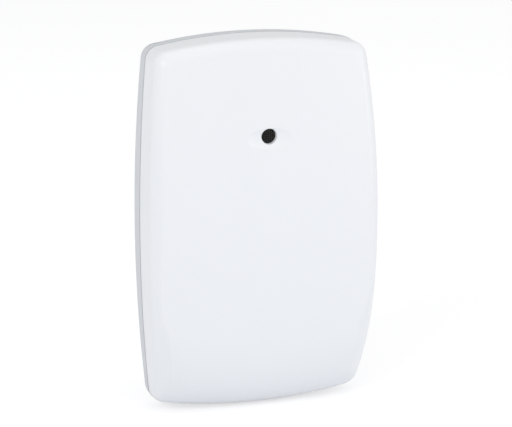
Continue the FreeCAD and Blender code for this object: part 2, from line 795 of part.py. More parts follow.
def slider_xs():
    """The middle of each slider across the bank."""
    return [bank_place()[0] + (i - (SLIDERS - 1) / 2) * SLIDER_PITCH for i in range(SLIDERS)]


def slider_slot():
    """Size of a slider's slot along X and Z."""
    return SLIDER_WIDTH + 2 * SLIDER_GAP, SLIDER_LENGTH + SLIDER_TRAVEL + 2 * SLIDER_GAP


def switch_bank():
    """The housing of the slide switches."""
    length = SLIDERS * SLIDER_PITCH + SLIDER_WIDTH
    middle, z = bank_place()
    body = block_at(middle, z, (length, BANK_DEPTH, BANK_HEIGHT), board_front)
    top = board_front + BANK_HEIGHT
    across, along = slider_slot()
    for x in slider_xs():
        body = body.cut(block_at(x, z, (across, along, REACH), top - SLIDER_SLOT_DEPTH))
    return body


def slider(index):
    """One slider, at the end of its slot where it rests."""
    x = slider_xs()[index]
    shift = SLIDER_TRAVEL / 2 if SLIDERS_UP[index] else -SLIDER_TRAVEL / 2
    top = board_front + BANK_HEIGHT
    foot = top - SLIDER_SLOT_DEPTH + SLIDER_GAP / 2
    size = (SLIDER_WIDTH, SLIDER_LENGTH, top + SLIDER_PROUD - foot)
    return block_at(x, bank_place()[1] + shift, size, foot)


def bent_leg(x, z, side, height):
    """One leg of a chip: along Z it slopes down from the body and ends in a flat foot."""
    thick = LEG_THICKNESS
    profile = [(0, height), (LEG_BEND, 0), (LEG_REACH, 0), (LEG_REACH, thick),
               (LEG_BEND + thick / 2, thick), (0, height + thick)]
    points = [Vector(x - LEG_WIDTH / 2, -board_front - depth, z + side * out) for out, depth in profile]
    return Part.Face(Part.makePolygon(points + points[:1])).extrude(Vector(LEG_WIDTH, 0, 0))


def controller_place():
    """Centre of the microcontroller."""
    return CONTROLLER_X, port_z - CONTROLLER_BELOW_PORT


def amplifier_place():
    """Centre of the audio amplifier."""
    return board_half_width() - AMPLIFIER_FROM_RIGHT, board_top - AMPLIFIER_FROM_TOP


def chip_body(place, legs, width):
    """The moulded body of a chip with legs on its two long sides."""
    x, z = place
    size = (legs * CHIP_PITCH + LEG_WIDTH, width, CHIP_HEIGHT - CHIP_LIFT)
    return block_at(x, z, size, board_front + CHIP_LIFT)


def chip_legs():
    """All the legs of both chips."""
    chips = ((controller_place(), CONTROLLER_LEGS, CONTROLLER_WIDTH),
             (amplifier_place(), AMPLIFIER_LEGS, AMPLIFIER_WIDTH))
    legs = []
    for (x, z), count, width in chips:
        for i in range(count):
            leg_x = x + (i - (count - 1) / 2) * CHIP_PITCH
            for side in (-1, 1):
                legs.append(bent_leg(leg_x, z + side * width / 2, side, CHIP_HEIGHT / 2))
    return Part.makeCompound(legs)


def relay_place():
    """Centre of the alarm relay."""
    return RELAY_FROM_LEFT - board_half_width(), board_top - RELAY_FROM_TOP


def solder_feet():
    """The flat feet of the relay and of both switches."""
    rows = [(x, bank_place()[1], BANK_DEPTH) for x in slider_xs()]
    tamper_x, tamper_z = tamper_place()
    rows += [(tamper_x + side * CHIP_PITCH, tamper_z, TAMPER_SIZE) for side in (-1, 1)]
    relay_x, relay_z = relay_place()
    first = relay_x - RELAY_PITCH * (RELAY_FEET - 1) / 2
    rows += [(first + RELAY_PITCH * i, relay_z, RELAY[1]) for i in range(RELAY_FEET)]
    feet = []
    for x, z, width in rows:
        for side in (-1, 1):
            feet.append(block_at(x, z + side * (width + FOOT[1]) / 2, FOOT, board_front))
    return Part.makeCompound(feet)


def alarm_relay():
    """The sealed case of the relay."""
    case = block_at(*relay_place(), RELAY, board_front)
    rounded = [e for e in case.Edges if e.CenterOfMass.y < -board_front - SEAM]
    return case.makeChamfer(RELAY_ROUND, rounded)


def can_places():
    """Centres of the capacitor cans."""
    first = CAN_FROM_LEFT - board_half_width()
    return [(first + i * CAN_PITCH, port_z - CAN_BELOW_PORT) for i in range(CANS)]


def capacitor_cans():
    """The aluminium cans."""
    foot = board_front + CAN_BASE
    return Part.makeCompound([rod(x, z, CAN_RADIUS, foot, foot + CAN_HEIGHT) for x, z in can_places()])


def capacitor_bases():
    """The square plastic foot under each can, with two cut corners."""
    bases = []
    side = 2 * (CAN_RADIUS + CAN_MARGIN)
    for x, z in can_places():
        foot = block_at(x, z, (side, side, CAN_BASE), board_front)
        cut = [e for e in foot.Edges if abs(e.Vertexes[0].Y - e.Vertexes[1].Y) > CAN_BASE / 2
               and e.CenterOfMass.x < x]
        bases.append(foot.makeChamfer(CAN_BASE, cut))
    return Part.makeCompound(bases)


def crystal():
    """A low crystal can with round ends on a thin flange."""
    length, width, height = CRYSTAL
    x, z = board_half_width() - CRYSTAL_FROM_RIGHT, port_z - CRYSTAL_BELOW_PORT
    flat = length - width
    can = fuse_all([block_at(x, z, (flat, width, height), board_front),
                    rod(x - flat / 2, z, width / 2, board_front, board_front + height),
                    rod(x + flat / 2, z, width / 2, board_front, board_front + height)])
    flange = block_at(x, z, (length + END_CAP, width + END_CAP, END_CAP), board_front)
    return can.fuse(flange).removeSplitter()


def regulator_place():
    """Centre of the voltage regulator."""
    return board_half_width() - REGULATOR_FROM_RIGHT, port_z - REGULATOR_BELOW_PORT


def regulator():
    """The regulator's moulded body."""
    return block_at(*regulator_place(), REGULATOR, board_front + TAB_THICKNESS)


def regulator_tab():
    """Its cooling tab under the body, and its two legs."""
    x, z = regulator_place()
    length, width, height = REGULATOR
    tab = box(x - length / 2 + END_CAP, x + length / 2 - END_CAP, z, z + width / 2 + TAB_LENGTH,
              board_front, board_front + TAB_THICKNESS)
    foot_z = z - width / 2
    legs = [bent_leg(x + side * REGULATOR_LEG_SPREAD, foot_z, -1, height / 2) for side in (-1, 1)]
    return Part.makeCompound([tab] + legs)


def surge_suppressor():
    """A coated disc that stands on its two leads."""
    x, z = suppressor_place()
    centre = board_front + SUPPRESSOR_LIFT + SUPPRESSOR_RADIUS
    start = Vector(x, -centre, z - SUPPRESSOR_THICKNESS / 2)
    return Part.makeCylinder(SUPPRESSOR_RADIUS, SUPPRESSOR_THICKNESS, start, Vector(0, 0, 1))


def suppressor_leads():
    """The two leads of the disc, which meet its lower edge."""
    x, z = suppressor_place()
    centre = board_front + SUPPRESSOR_LIFT + SUPPRESSOR_RADIUS
    reach = centre - math.sqrt(SUPPRESSOR_RADIUS ** 2 - (SUPPRESSOR_SPREAD - PIN / 2) ** 2) + PIN
    disc = surge_suppressor()
    leads = [pin(x + side * SUPPRESSOR_SPREAD, z, tail_depth, reach).cut(disc) for side in (-1, 1)]
    return Part.makeCompound(leads)


def diode_places():
    """Centres of the diodes, in a column."""
    return [(DIODE_X, port_z - DIODE_BELOW_PORT - i * DIODE_PITCH) for i in range(DIODES)]


def diodes():
    """The moulded diode bodies."""
    return Part.makeCompound([block_at(x, z, DIODE, board_front) for x, z in diode_places()])


def diode_ends():
    """The metal tongues at both ends of each diode."""
    length, width, height = DIODE
    size = (END_CAP, width / 2, height / 2)
    ends = []
    for x, z in diode_places():
        for side in (-1, 1):
            ends.append(block_at(x + side * (length + END_CAP) / 2, z, size, board_front))
    return Part.makeCompound(ends)


def small_row(x, z):
    """Places of one row of small chips, centred on x."""
    return [(x + (i - (SMALL_ROW - 1) / 2) * SMALL_CHIP_PITCH, z) for i in range(SMALL_ROW)]


def capacitor_places():
    """Places of the chip capacitors: a row above the microcontroller and two above the amplifier."""
    x, z = controller_place()
    chip_x, chip_z = amplifier_place()
    pair = [(chip_x + side * SMALL_CHIP_PITCH / 2, chip_z + DECOUPLING_OFFSET) for side in (-1, 1)]
    return small_row(x, z + SMALL_ROW_OFFSET) + pair


def resistor_places():
    """Places of the chip resistors: by the microcontroller, the green lamp and the switch bank."""
    x, z = controller_place()
    bank_x, bank_z = bank_place()
    lamp_z = port_z + LAMP_RESISTOR_ABOVE
    column = [(LAMP_X, lamp_z + LAMP_RESISTOR_PITCH * i) for i in range(LAMP_RESISTORS)]
    beside = [(bank_x + SMALL_CHIP_PITCH * i, bank_z - BANK_RESISTOR_BELOW) for i in (-1, 0, 1)]
    return small_row(x, z - SMALL_ROW_OFFSET) + column + beside


def small_chips(places, height):
    """The bodies of small chips, between their end caps."""
    length, width, _ = SMALL_CHIP
    size = (length - 2 * END_CAP, width, height)
    return Part.makeCompound([block_at(x, z, size, board_front) for x, z in places])


def chip_ends():
    """The tinned end caps of all small chips."""
    length, width, height = SMALL_CHIP
    ends = []
    for places, tall in ((capacitor_places(), CAPACITOR_HEIGHT), (resistor_places(), height)):
        for x, z in places:
            for side in (-1, 1):
                end_x = x + side * (length - END_CAP) / 2
                ends.append(block_at(end_x, z, (END_CAP, width, tall), board_front))
    return Part.makeCompound(ends)


def save(name, shape):
    """Write one sub-part."""
    shape.exportStep("parts/" + name + ".step")
    print(name, len(shape.Solids), "solids", round(shape.Volume, 2), "mm3", "valid", shape.isValid())


os.makedirs("parts", exist_ok=True)
save("rear_base", rear_base())
save("front_cover", front_cover())
save("port_mesh", port_mesh())
save("circuit_board", circuit_board())
save("board_screws", board_screws())
save("microphone_capsule", microphone_capsule())
save("microphone_leads", microphone_leads())
save("microphone_boot", microphone_boot())
save("red_lamp", lamp(-LAMP_X))
save("green_lamp", lamp(LAMP_X))
save("light_guides", light_guides())
save("terminal_block", terminal_block())
save("terminal_clamps", terminal_clamps())
save("terminal_screws", terminal_screws())
save("terminal_pins", terminal_pins())
save("tamper_switch", tamper_switch())
save("tamper_plunger", tamper_plunger())
save("switch_bank", switch_bank())
for number in range(SLIDERS):
    save("slider_%d" % (number + 1), slider(number))
save("microcontroller", chip_body(controller_place(), CONTROLLER_LEGS, CONTROLLER_WIDTH))
save("amplifier_chip", chip_body(amplifier_place(), AMPLIFIER_LEGS, AMPLIFIER_WIDTH))
save("chip_legs", chip_legs())
save("solder_feet", solder_feet())
save("alarm_relay", alarm_relay())
save("capacitor_cans", capacitor_cans())
save("capacitor_bases", capacitor_bases())
save("crystal", crystal())
save("regulator", regulator())
save("regulator_tab", regulator_tab())
save("surge_suppressor", surge_suppressor())
save("suppressor_leads", suppressor_leads())
save("diodes", diodes())
save("diode_ends", diode_ends())
save("chip_capacitors", small_chips(capacitor_places(), CAPACITOR_HEIGHT))
save("chip_resistors", small_chips(resistor_places(), SMALL_CHIP[2]))
save("chip_ends", chip_ends())
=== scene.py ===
# %% [markdown]
# A glass break sensor, dressed for its photograph
#
# Every CAD node keeps its place. This script only adds finishes, smooth copies of the two case shells,
# small pieces that are too fine for the solids, a floor, lights and a camera.

# %% Load the frame
import json
import math
import bmesh
import bpy
from mathutils import Matrix, Vector

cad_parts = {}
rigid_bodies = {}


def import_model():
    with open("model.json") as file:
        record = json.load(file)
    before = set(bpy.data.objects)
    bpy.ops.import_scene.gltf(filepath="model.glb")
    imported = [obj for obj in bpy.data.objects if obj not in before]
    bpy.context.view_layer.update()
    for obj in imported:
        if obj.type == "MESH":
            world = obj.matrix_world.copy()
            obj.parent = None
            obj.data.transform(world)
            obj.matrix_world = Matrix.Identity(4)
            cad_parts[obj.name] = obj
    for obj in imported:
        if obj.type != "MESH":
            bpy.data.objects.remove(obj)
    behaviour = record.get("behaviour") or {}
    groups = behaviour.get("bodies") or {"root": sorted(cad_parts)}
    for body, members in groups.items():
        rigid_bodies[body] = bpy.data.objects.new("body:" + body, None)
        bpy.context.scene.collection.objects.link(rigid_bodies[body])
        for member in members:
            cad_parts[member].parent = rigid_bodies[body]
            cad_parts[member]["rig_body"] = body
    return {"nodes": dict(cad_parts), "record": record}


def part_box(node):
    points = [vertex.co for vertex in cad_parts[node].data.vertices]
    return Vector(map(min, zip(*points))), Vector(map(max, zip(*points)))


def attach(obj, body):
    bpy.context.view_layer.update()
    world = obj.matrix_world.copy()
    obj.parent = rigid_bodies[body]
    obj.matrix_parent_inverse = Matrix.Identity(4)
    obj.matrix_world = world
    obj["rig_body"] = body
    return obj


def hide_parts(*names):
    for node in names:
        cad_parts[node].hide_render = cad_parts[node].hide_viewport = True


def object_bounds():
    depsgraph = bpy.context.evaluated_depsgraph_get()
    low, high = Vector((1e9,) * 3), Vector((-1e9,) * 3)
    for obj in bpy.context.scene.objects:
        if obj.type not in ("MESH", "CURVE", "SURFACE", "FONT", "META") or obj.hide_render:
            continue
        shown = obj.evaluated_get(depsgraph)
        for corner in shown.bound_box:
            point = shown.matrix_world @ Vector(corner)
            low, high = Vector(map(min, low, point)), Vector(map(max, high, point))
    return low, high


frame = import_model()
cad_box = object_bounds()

mm = 0.001

# %% [markdown]
# The photograph looks at the sensor from a little to its left and from above, through a long lens.
# A camera could be placed by eye, but the outline was fitted to the photograph instead, which gave the
# two angles, the distance and the focal length. The image is taken to be 512 pixels wide.

# %% Camera
IMAGE_WIDTH, IMAGE_HEIGHT = 512, 427
VIEW_TURN, VIEW_TILT = math.radians(17.06), math.radians(14.04)
VIEW_DISTANCE = 508.4 * mm
FOCAL_PIXELS = 1925.7
ORIGIN_PIXEL = (247.1, 215.2)

lens = bpy.data.cameras.new("camera")
lens.sensor_width = 36.0
lens.lens = FOCAL_PIXELS * lens.sensor_width / IMAGE_WIDTH
camera = bpy.data.objects.new("camera", lens)
bpy.context.scene.collection.objects.link(camera)
bpy.context.scene.camera = camera
away = Vector((-math.sin(VIEW_TURN) * math.cos(VIEW_TILT),
               -math.cos(VIEW_TURN) * math.cos(VIEW_TILT), math.sin(VIEW_TILT)))
right = Vector((math.cos(VIEW_TURN), -math.sin(VIEW_TURN), 0))
up = right.cross(-away)
metres_per_pixel = VIEW_DISTANCE / FOCAL_PIXELS
aim = metres_per_pixel * (right * (IMAGE_WIDTH / 2 - ORIGIN_PIXEL[0])
                          - up * (IMAGE_HEIGHT / 2 - ORIGIN_PIXEL[1]))
camera.location = away * VIEW_DISTANCE
camera.rotation_euler = (aim - camera.location).to_track_quat("-Z", "Y").to_euler()
print("camera lens %.1f mm at %s" % (lens.lens, [round(v, 3) for v in camera.location]))

# %% [markdown]
# Materials are made of nodes. Two short helpers keep that readable: one adds a node and fills or links
# its inputs, the other starts a node group with named sockets.

# %% Node helpers
def add(tree, kind, inputs=None, **settings):
    """Adds a node. An input's value is a number, a colour or another node's output."""
    made = tree.nodes.new(kind)
    for key, value in settings.items():
        setattr(made, key, value)
    for key, value in (inputs or {}).items():
        if isinstance(value, bpy.types.NodeSocket):
            tree.links.new(value, made.inputs[key])
        else:
            made.inputs[key].default_value = value
    return made


def new_group(name, inputs, outputs):
    """A shader node group with float inputs and float outputs."""
    group = bpy.data.node_groups.new(name, "ShaderNodeTree")
    for label, value in inputs.items():
        socket = group.interface.new_socket(label, in_out="INPUT", socket_type="NodeSocketFloat")
        socket.default_value = value
    for label in outputs:
        group.interface.new_socket(label, in_out="OUTPUT", socket_type="NodeSocketFloat")
    return group, group.nodes.new("NodeGroupInput").outputs, group.nodes.new("NodeGroupOutput").inputs


def math_node(tree, operation, a, b=0.0):
    """One sum, as its output socket."""
    return add(tree, "ShaderNodeMath", {0: a, 1: b}, operation=operation).outputs[0]


def vector_node(tree, operation, a, b=(0, 0, 0)):
    """One sum with vectors, as its output socket. SCALE takes a number as b."""
    second = 3 if operation == "SCALE" else 1
    return add(tree, "ShaderNodeVectorMath", {0: a, second: b}, operation=operation).outputs[0]


print("ready: add, new_group, math_node and vector_node")

# %% [markdown]
# Nearly everything here is moulded plastic. A mould leaves a very fine grain and, over a few
# millimetres, a faint unevenness of tone and gloss. Both come from noise on object coordinates, so they
# stay put when a part moves. One group serves all the plastics, each with its own grain size.

# %% Group: moulded skin
ELSEWHERE = (0.37, 0.11, 0.23)


def make_moulded_skin():
    """Grain height, slow tone and slow gloss, all as values from 0 to 1."""
    group, given, result = new_group(
        "moulded_skin", {"Grain Size": 0.3 * mm, "Patch Size": 12 * mm}, ["Height", "Tone", "Gloss"])
    place = add(group, "ShaderNodeTexCoord").outputs["Object"]
    fine = math_node(group, "DIVIDE", 1.0, given["Grain Size"])
    broad = math_node(group, "DIVIDE", 1.0, given["Patch Size"])
    grain = add(group, "ShaderNodeTexNoise",
                {"Vector": place, "Scale": fine, "Detail": 3.0, "Roughness": 0.6})
    patch = add(group, "ShaderNodeTexNoise", {"Vector": place, "Scale": broad, "Detail": 2.0})
    shifted = vector_node(group, "ADD", place, ELSEWHERE)
    gloss = add(group, "ShaderNodeTexNoise", {"Vector": shifted, "Scale": broad, "Detail": 4.0})
    group.links.new(grain.outputs[0], result["Height"])
    group.links.new(patch.outputs[0], result["Tone"])
    group.links.new(gloss.outputs[0], result["Gloss"])
    return group


MOULDED_SKIN = make_moulded_skin()
print("group sockets:", [item.name for item in MOULDED_SKIN.interface.items_tree])

# %% [markdown]
# A noise value from the group then becomes a colour or a gloss. Its middle stretch is mapped onto two
# ends, which are a little darker and a little lighter than the plastic's own colour. No surface is left
# as one flat colour, and none looks speckled.

# %% Moulded materials
NOISE_LOW, NOISE_HIGH = 0.3, 0.7
GRAIN_DEPTH = 0.3


def span(tree, value, low, high):
    """Maps a noise value, which keeps near 0.5, onto low to high."""
    mapped = add(tree, "ShaderNodeMapRange", {"Value": value, "From Min": NOISE_LOW,
                                              "From Max": NOISE_HIGH, "To Min": low, "To Max": high})
    return mapped.outputs[0]


def between(tree, factor, dark, light):
    """A colour between two, by a value."""
    mix = add(tree, "ShaderNodeMix", {"Factor": factor, "A": (*dark, 1.0), "B": (*light, 1.0)},
              data_type="RGBA")
    return mix.outputs["Result"]


def uneven(tree, value, middle, swing):
    """A number that wanders about its middle by a share of it."""
    return span(tree, value, middle * (1 - swing), middle * (1 + swing))


def shades(tree, value, colour, darker, lighter):
    """A colour that wanders from a little darker to a little lighter."""
    dark = [c * (1 - darker) for c in colour]
    light = [min(1.0, c * (1 + lighter)) for c in colour]
    return between(tree, value, dark, light)


def give_relief(tree, shader, height, strength, distance):
    """Tilts the light on a surface by a height, as relief too fine to model does."""
    bump = add(tree, "ShaderNodeBump", {"Height": height, "Strength": strength, "Distance": distance})
    tree.links.new(bump.outputs[0], shader.inputs["Normal"])


def start_material(name):
    """A new node material: its tree and its Principled shader."""
    material = bpy.data.materials.new(name)
    material.use_nodes = True
    return material, material.node_tree, material.node_tree.nodes["Principled BSDF"]


def moulded(name, colour, roughness, grain, bump, tone, patch):
    """A moulded plastic or rubber: its colour and gloss wander a little, and it has a fine grain."""
    material, tree, shader = start_material(name)
    skin = add(tree, "ShaderNodeGroup", {"Grain Size": grain, "Patch Size": patch},
               node_tree=MOULDED_SKIN)
    tree.links.new(shades(tree, skin.outputs["Tone"], colour, tone, tone), shader.inputs["Base Color"])
    tree.links.new(uneven(tree, skin.outputs["Gloss"], roughness, 0.12), shader.inputs["Roughness"])
    give_relief(tree, shader, skin.outputs["Height"], bump, grain * GRAIN_DEPTH)
    return material


print("ready: span, between, uneven, shades, give_relief, start_material and moulded")

# %% [markdown]
# The case is satin white ABS. The cover and the base are the same plastic, and the base is a little
# duller.
# The base is also coloured darker than the cover: that darkness is painted shade, for the shade that
# falls on its sides. Each row below gives a colour, its roughness, the grain in mm, how strongly the
# grain stands out, how far the tone wanders, and the size of its patches in mm. Small parts have finer
# patches, so that they vary too.

# %% Plastics, rubber and felt
PLASTIC_ROWS = {
    "case_front": ("satin_white_cover", (0.851, 0.858, 0.871), 0.38, 0.35, 0.05, 0.006, 12),
    # The base's colour is darker than the cover's: that darkness is painted shade.
    "case_rear": ("base_white_painted_shade", (0.655, 0.67, 0.69), 0.5, 0.35, 0.06, 0.01, 12),
    "rubber": ("black_rubber", (0.018, 0.018, 0.018), 0.7, 0.15, 0.2, 0.25, 2),
    "felt": ("black_felt", (0.008, 0.008, 0.009), 0.95, 0.05, 0.4, 0.4, 0.4),
    "terminal": ("green_nylon", (0.02, 0.17, 0.06), 0.38, 0.2, 0.08, 0.08, 4),
    "black": ("black_epoxy", (0.022, 0.022, 0.024), 0.55, 0.08, 0.15, 0.25, 1.5),
    "switch_red": ("red_switch_body", (0.36, 0.02, 0.015), 0.4, 0.12, 0.06, 0.06, 3),
    "white_small": ("white_nylon", (0.75, 0.74, 0.70), 0.45, 0.1, 0.05, 0.03, 1),
    "relay": ("relay_shell", (0.70, 0.70, 0.66), 0.35, 0.15, 0.05, 0.03, 5),
    "disc": ("blue_dipped_coating", (0.015, 0.06, 0.26), 0.28, 0.8, 0.25, 0.2, 2),
    "chip_tan": ("tan_ceramic", (0.38, 0.25, 0.13), 0.5, 0.06, 0.15, 0.12, 0.7),
}
FELT_SHEEN = 0.08

PLASTICS = {slot: moulded(name, colour, roughness, grain * mm, bump, tone, patch * mm)
            for slot, (name, colour, roughness, grain, bump, tone, patch) in PLASTIC_ROWS.items()}
felt_shader = PLASTICS["felt"].node_tree.nodes["Principled BSDF"]
felt_shader.inputs["Specular IOR Level"].default_value = FELT_SHEEN
print("plastics:", len(PLASTICS))

# %% [markdown]
# Metals: drawn cans, tinned legs, plated screws. Real ones show faint streaks along the way they were
# worked. Stretching a noise texture along one axis gives them, and it drives the gloss more than the
# colour.

# %% Group: worked metal
STREAK_STRETCH = (1.0, 0.06, 1.0)


def make_worked_metal():
    """Streaks along one axis, and small stains, as values from 0 to 1."""
    group, given, result = new_group("worked_metal", {"Streak Width": 0.08 * mm}, ["Streak", "Stain"])
    place = add(group, "ShaderNodeTexCoord").outputs["Object"]
    stretched = add(group, "ShaderNodeMapping", {"Vector": place, "Scale": STREAK_STRETCH})
    fine = math_node(group, "DIVIDE", 1.0, given["Streak Width"])
    broad = math_node(group, "MULTIPLY", fine, 0.05)
    streak = add(group, "ShaderNodeTexNoise",
                 {"Vector": stretched.outputs[0], "Scale": fine, "Detail": 2.0})
    stain = add(group, "ShaderNodeTexNoise",
                {"Vector": place, "Scale": broad, "Detail": 5.0, "Roughness": 0.65})
    group.links.new(streak.outputs[0], result["Streak"])
    group.links.new(stain.outputs[0], result["Stain"])
    return group


WORKED_METAL = make_worked_metal()


def metal(name, colour, roughness, tone=0.12):
    """A worked metal surface."""
    material, tree, shader = start_material(name)
    worked = add(tree, "ShaderNodeGroup", {"Streak Width": 0.08 * mm}, node_tree=WORKED_METAL)
    stained = shades(tree, worked.outputs["Stain"], colour, tone, tone / 2)
    tree.links.new(stained, shader.inputs["Base Color"])
    tree.links.new(uneven(tree, worked.outputs["Streak"], roughness, 0.3), shader.inputs["Roughness"])
    give_relief(tree, shader, worked.outputs["Streak"], 0.1, 0.01 * mm)
    shader.inputs["Metallic"].default_value = 1.0
    return material


METALS = {
    "mesh": metal("dark_woven_steel", (0.10, 0.095, 0.09), 0.24),
    "screw": metal("zinc_plating", (0.62, 0.63, 0.64), 0.3),
    "can": metal("drawn_aluminium", (0.72, 0.72, 0.73), 0.26),
    "solder": metal("tinned_copper", (0.66, 0.66, 0.64), 0.32, tone=0.2),
    "brass": metal("nickelled_brass", (0.60, 0.55, 0.42), 0.3),
}
print("metals:", len(METALS))

# %% [markdown]
# The circuit board is glass-fibre laminate under a green solder mask. Copper tracks stand a hair
# proud below the mask and read as lighter green lines. Modelling them would cost thousands of faces, so
# the material draws them: the board is divided into small squares, and a noise value decides whether a
# square's line runs across, runs up, or is missing. The noise moves on only a little from one square to
# the next, so neighbours often agree, and their lines join into tracks.

# %% Board material
TRACK_PITCH = 1.27 * mm
HALF_TRACK = 0.11
RUNS_ACROSS_ABOVE, RUNS_UP_BELOW = 0.52, 0.46
NOISE_STEP = (0.21, 0.0, 0.34)


def track_mask(tree, place):
    """1 on a copper track and 0 beside it."""
    squares = vector_node(tree, "SCALE", place, 1 / TRACK_PITCH)
    steps = vector_node(tree, "MULTIPLY", vector_node(tree, "FLOOR", squares), NOISE_STEP)
    chance = add(tree, "ShaderNodeTexNoise", {"Vector": steps, "Scale": 1.0, "Detail": 1.0}).outputs[0]
    axes = add(tree, "ShaderNodeSeparateXYZ", {0: vector_node(tree, "FRACTION", squares)}).outputs
    lines = []
    for axis, choice in (("Z", math_node(tree, "GREATER_THAN", chance, RUNS_ACROSS_ABOVE)),
                         ("X", math_node(tree, "LESS_THAN", chance, RUNS_UP_BELOW))):
        from_middle = math_node(tree, "ABSOLUTE", math_node(tree, "SUBTRACT", axes[axis], 0.5))
        on_line = math_node(tree, "LESS_THAN", from_middle, HALF_TRACK)
        lines.append(math_node(tree, "MULTIPLY", on_line, choice))
    return math_node(tree, "MAXIMUM", *lines)


def make_board():
    """Solder mask over copper tracks, with the faint tone of the glass fibre."""
    material, tree, shader = start_material("green_solder_mask")
    place = add(tree, "ShaderNodeTexCoord").outputs["Object"]
    track = track_mask(tree, place)
    fibre = add(tree, "ShaderNodeTexNoise", {"Vector": place, "Scale": 700.0, "Detail": 4.0}).outputs[0]
    mask = between(tree, fibre, (0.006, 0.075, 0.03), (0.010, 0.11, 0.045))
    mix = add(tree, "ShaderNodeMix", {"Factor": track, "A": mask, "B": (0.03, 0.22, 0.09, 1.0)},
              data_type="RGBA")
    tree.links.new(mix.outputs["Result"], shader.inputs["Base Color"])
    tree.links.new(span(tree, fibre, 0.26, 0.36), shader.inputs["Roughness"])
    give_relief(tree, shader, track, 0.4, 0.03 * mm)
    return material


BOARD = make_board()
print("board material:", BOARD.name)

# %% [markdown]
# Two kinds of clear plastic: tinted resin over the lamps, and the water-clear light guides. Clear parts
# keep a plain transmission value and get their life from a slightly uneven gloss.

# %% Clear plastics
ACRYLIC_IOR = 1.49


def clear(name, colour, roughness, transmission):
    """Moulded clear plastic."""
    material, tree, shader = start_material(name)
    skin = add(tree, "ShaderNodeGroup", {"Grain Size": 0.4 * mm, "Patch Size": 3 * mm},
               node_tree=MOULDED_SKIN)
    tree.links.new(shades(tree, skin.outputs["Tone"], colour, 0.08, 0), shader.inputs["Base Color"])
    tree.links.new(uneven(tree, skin.outputs["Gloss"], roughness, 0.2), shader.inputs["Roughness"])
    shader.inputs["Transmission Weight"].default_value = transmission
    shader.inputs["IOR"].default_value = ACRYLIC_IOR
    return material


CLEAR = {
    "red_lens": clear("red_resin", (0.70, 0.05, 0.03), 0.15, 0.5),
    "green_lens": clear("green_resin", (0.10, 0.60, 0.12), 0.15, 0.5),
    "clear": clear("water_clear_acrylic", (0.95, 0.97, 0.97), 0.08, 1.0),
}
FINISHES = {**PLASTICS, **METALS, **CLEAR, "board": BOARD}
print("finishes:", len(FINISHES))

# %% [markdown]
# Each CAD node already carries the record's slot. Its material slots are filled with the finish of the
# same name, and nothing on the node itself is moved.

# %% Dress the CAD nodes
slot_of = {part["node"]: part["material_slot"] for part in frame["record"]["subparts"]}
for name, node in frame["nodes"].items():
    finish = FINISHES[slot_of[name]]
    if not node.material_slots:
        node.data.materials.append(finish)
    for holder in node.material_slots:
        holder.material = finish
print("dressed", len(slot_of), "nodes")

# %% [markdown]
# The CAD meshes are loose triangles, so light breaks on them at every facet. The case is what the
# photograph shows, and there the crown must flow. A copy of each shell is merged and gets its own corner
# normals. Plain smooth shading would tilt the wide crown's normals towards the narrow strips of the
# rounded edge. So each face counts by the area of the surface that it belongs to: where a wide surface
# meets a narrow one, the wide one sets the normal. Slivers have no say, as their own normals are chance.

# %% Corner normals
SOFT_ANGLE = math.radians(28)
FLOW_ANGLE = math.radians(6)
SLIVER_HEIGHT = 0.02 * mm


def surface_areas(work):
    """For each face, the area of the surface it belongs to: neighbours within FLOW_ANGLE are one."""
    area_of = {}
    for first in work.faces:
        if first in area_of:
            continue
        area_of[first] = 0.0
        surface = [first]
        for face in surface:
            for edge in face.edges:
                if edge.is_manifold and edge.calc_face_angle() < FLOW_ANGLE:
                    fresh = [other for other in edge.link_faces if other not in area_of]
                    surface.extend(fresh)
                    area_of.update((other, 0.0) for other in fresh)
        area = sum(face.calc_area() for face in surface)
        area_of.update((face, area) for face in surface)
    return area_of


def is_thin(face, height=SLIVER_HEIGHT):
    """True for a triangle that is lower over its longest edge than a height."""
    return 2 * face.calc_area() < height * max(edge.calc_length() for edge in face.edges)


def fan_of(first):
    """The face corners round a vertex that one of them reaches without crossing a sharp edge."""
    fan = [first]
    for loop in fan:
        for edge in (loop.edge, loop.link_loop_prev.edge):
            if edge.smooth:
                fan.extend(other for face in edge.link_faces for other in face.loops
                           if other.vert is first.vert and other not in fan)
    return fan


def corner_normals(work):
    """A normal for each face corner: its fan's mean, each face by its angle and its surface's area."""
    area_of = surface_areas(work)
    area_of.update((face, 0.0) for face in work.faces if is_thin(face))
    normal_at = {}
    for vert in work.verts:
        for first in vert.link_loops:
            if first in normal_at:
                continue
            fan = fan_of(first)
            total = Vector()
            for loop in fan:
                total += loop.face.normal * loop.calc_angle() * area_of[loop.face] ** 2
            total = total.normalized() if total.length > 0 else first.face.normal.copy()
            normal_at.update((loop, total) for loop in fan)
    return [normal_at[loop] for face in work.faces for loop in face.loops]


print("edges are sharp from %.0f degrees, one surface turns by less than %.0f"
      % (math.degrees(SOFT_ANGLE), math.degrees(FLOW_ANGLE)))

# %% [markdown]
# A copy of a shell takes the place of its CAD node. It gets the node's body and materials, so it
# swings as the node would. What is special about a shell is passed in: a rule for edges that stay crisp
# though they are flat, and a mend to its vertices.

# %% Merged copies
MERGE = 0.0005 * mm


def body_of(node_name):
    """The body that a CAD node rides."""
    return frame["nodes"][node_name]["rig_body"]


def merged(node_name):
    """A bmesh of a CAD node whose loose triangles are joined."""
    work = bmesh.new()
    work.from_mesh(frame["nodes"][node_name].data)
    bmesh.ops.remove_doubles(work, verts=work.verts, dist=MERGE)
    return work


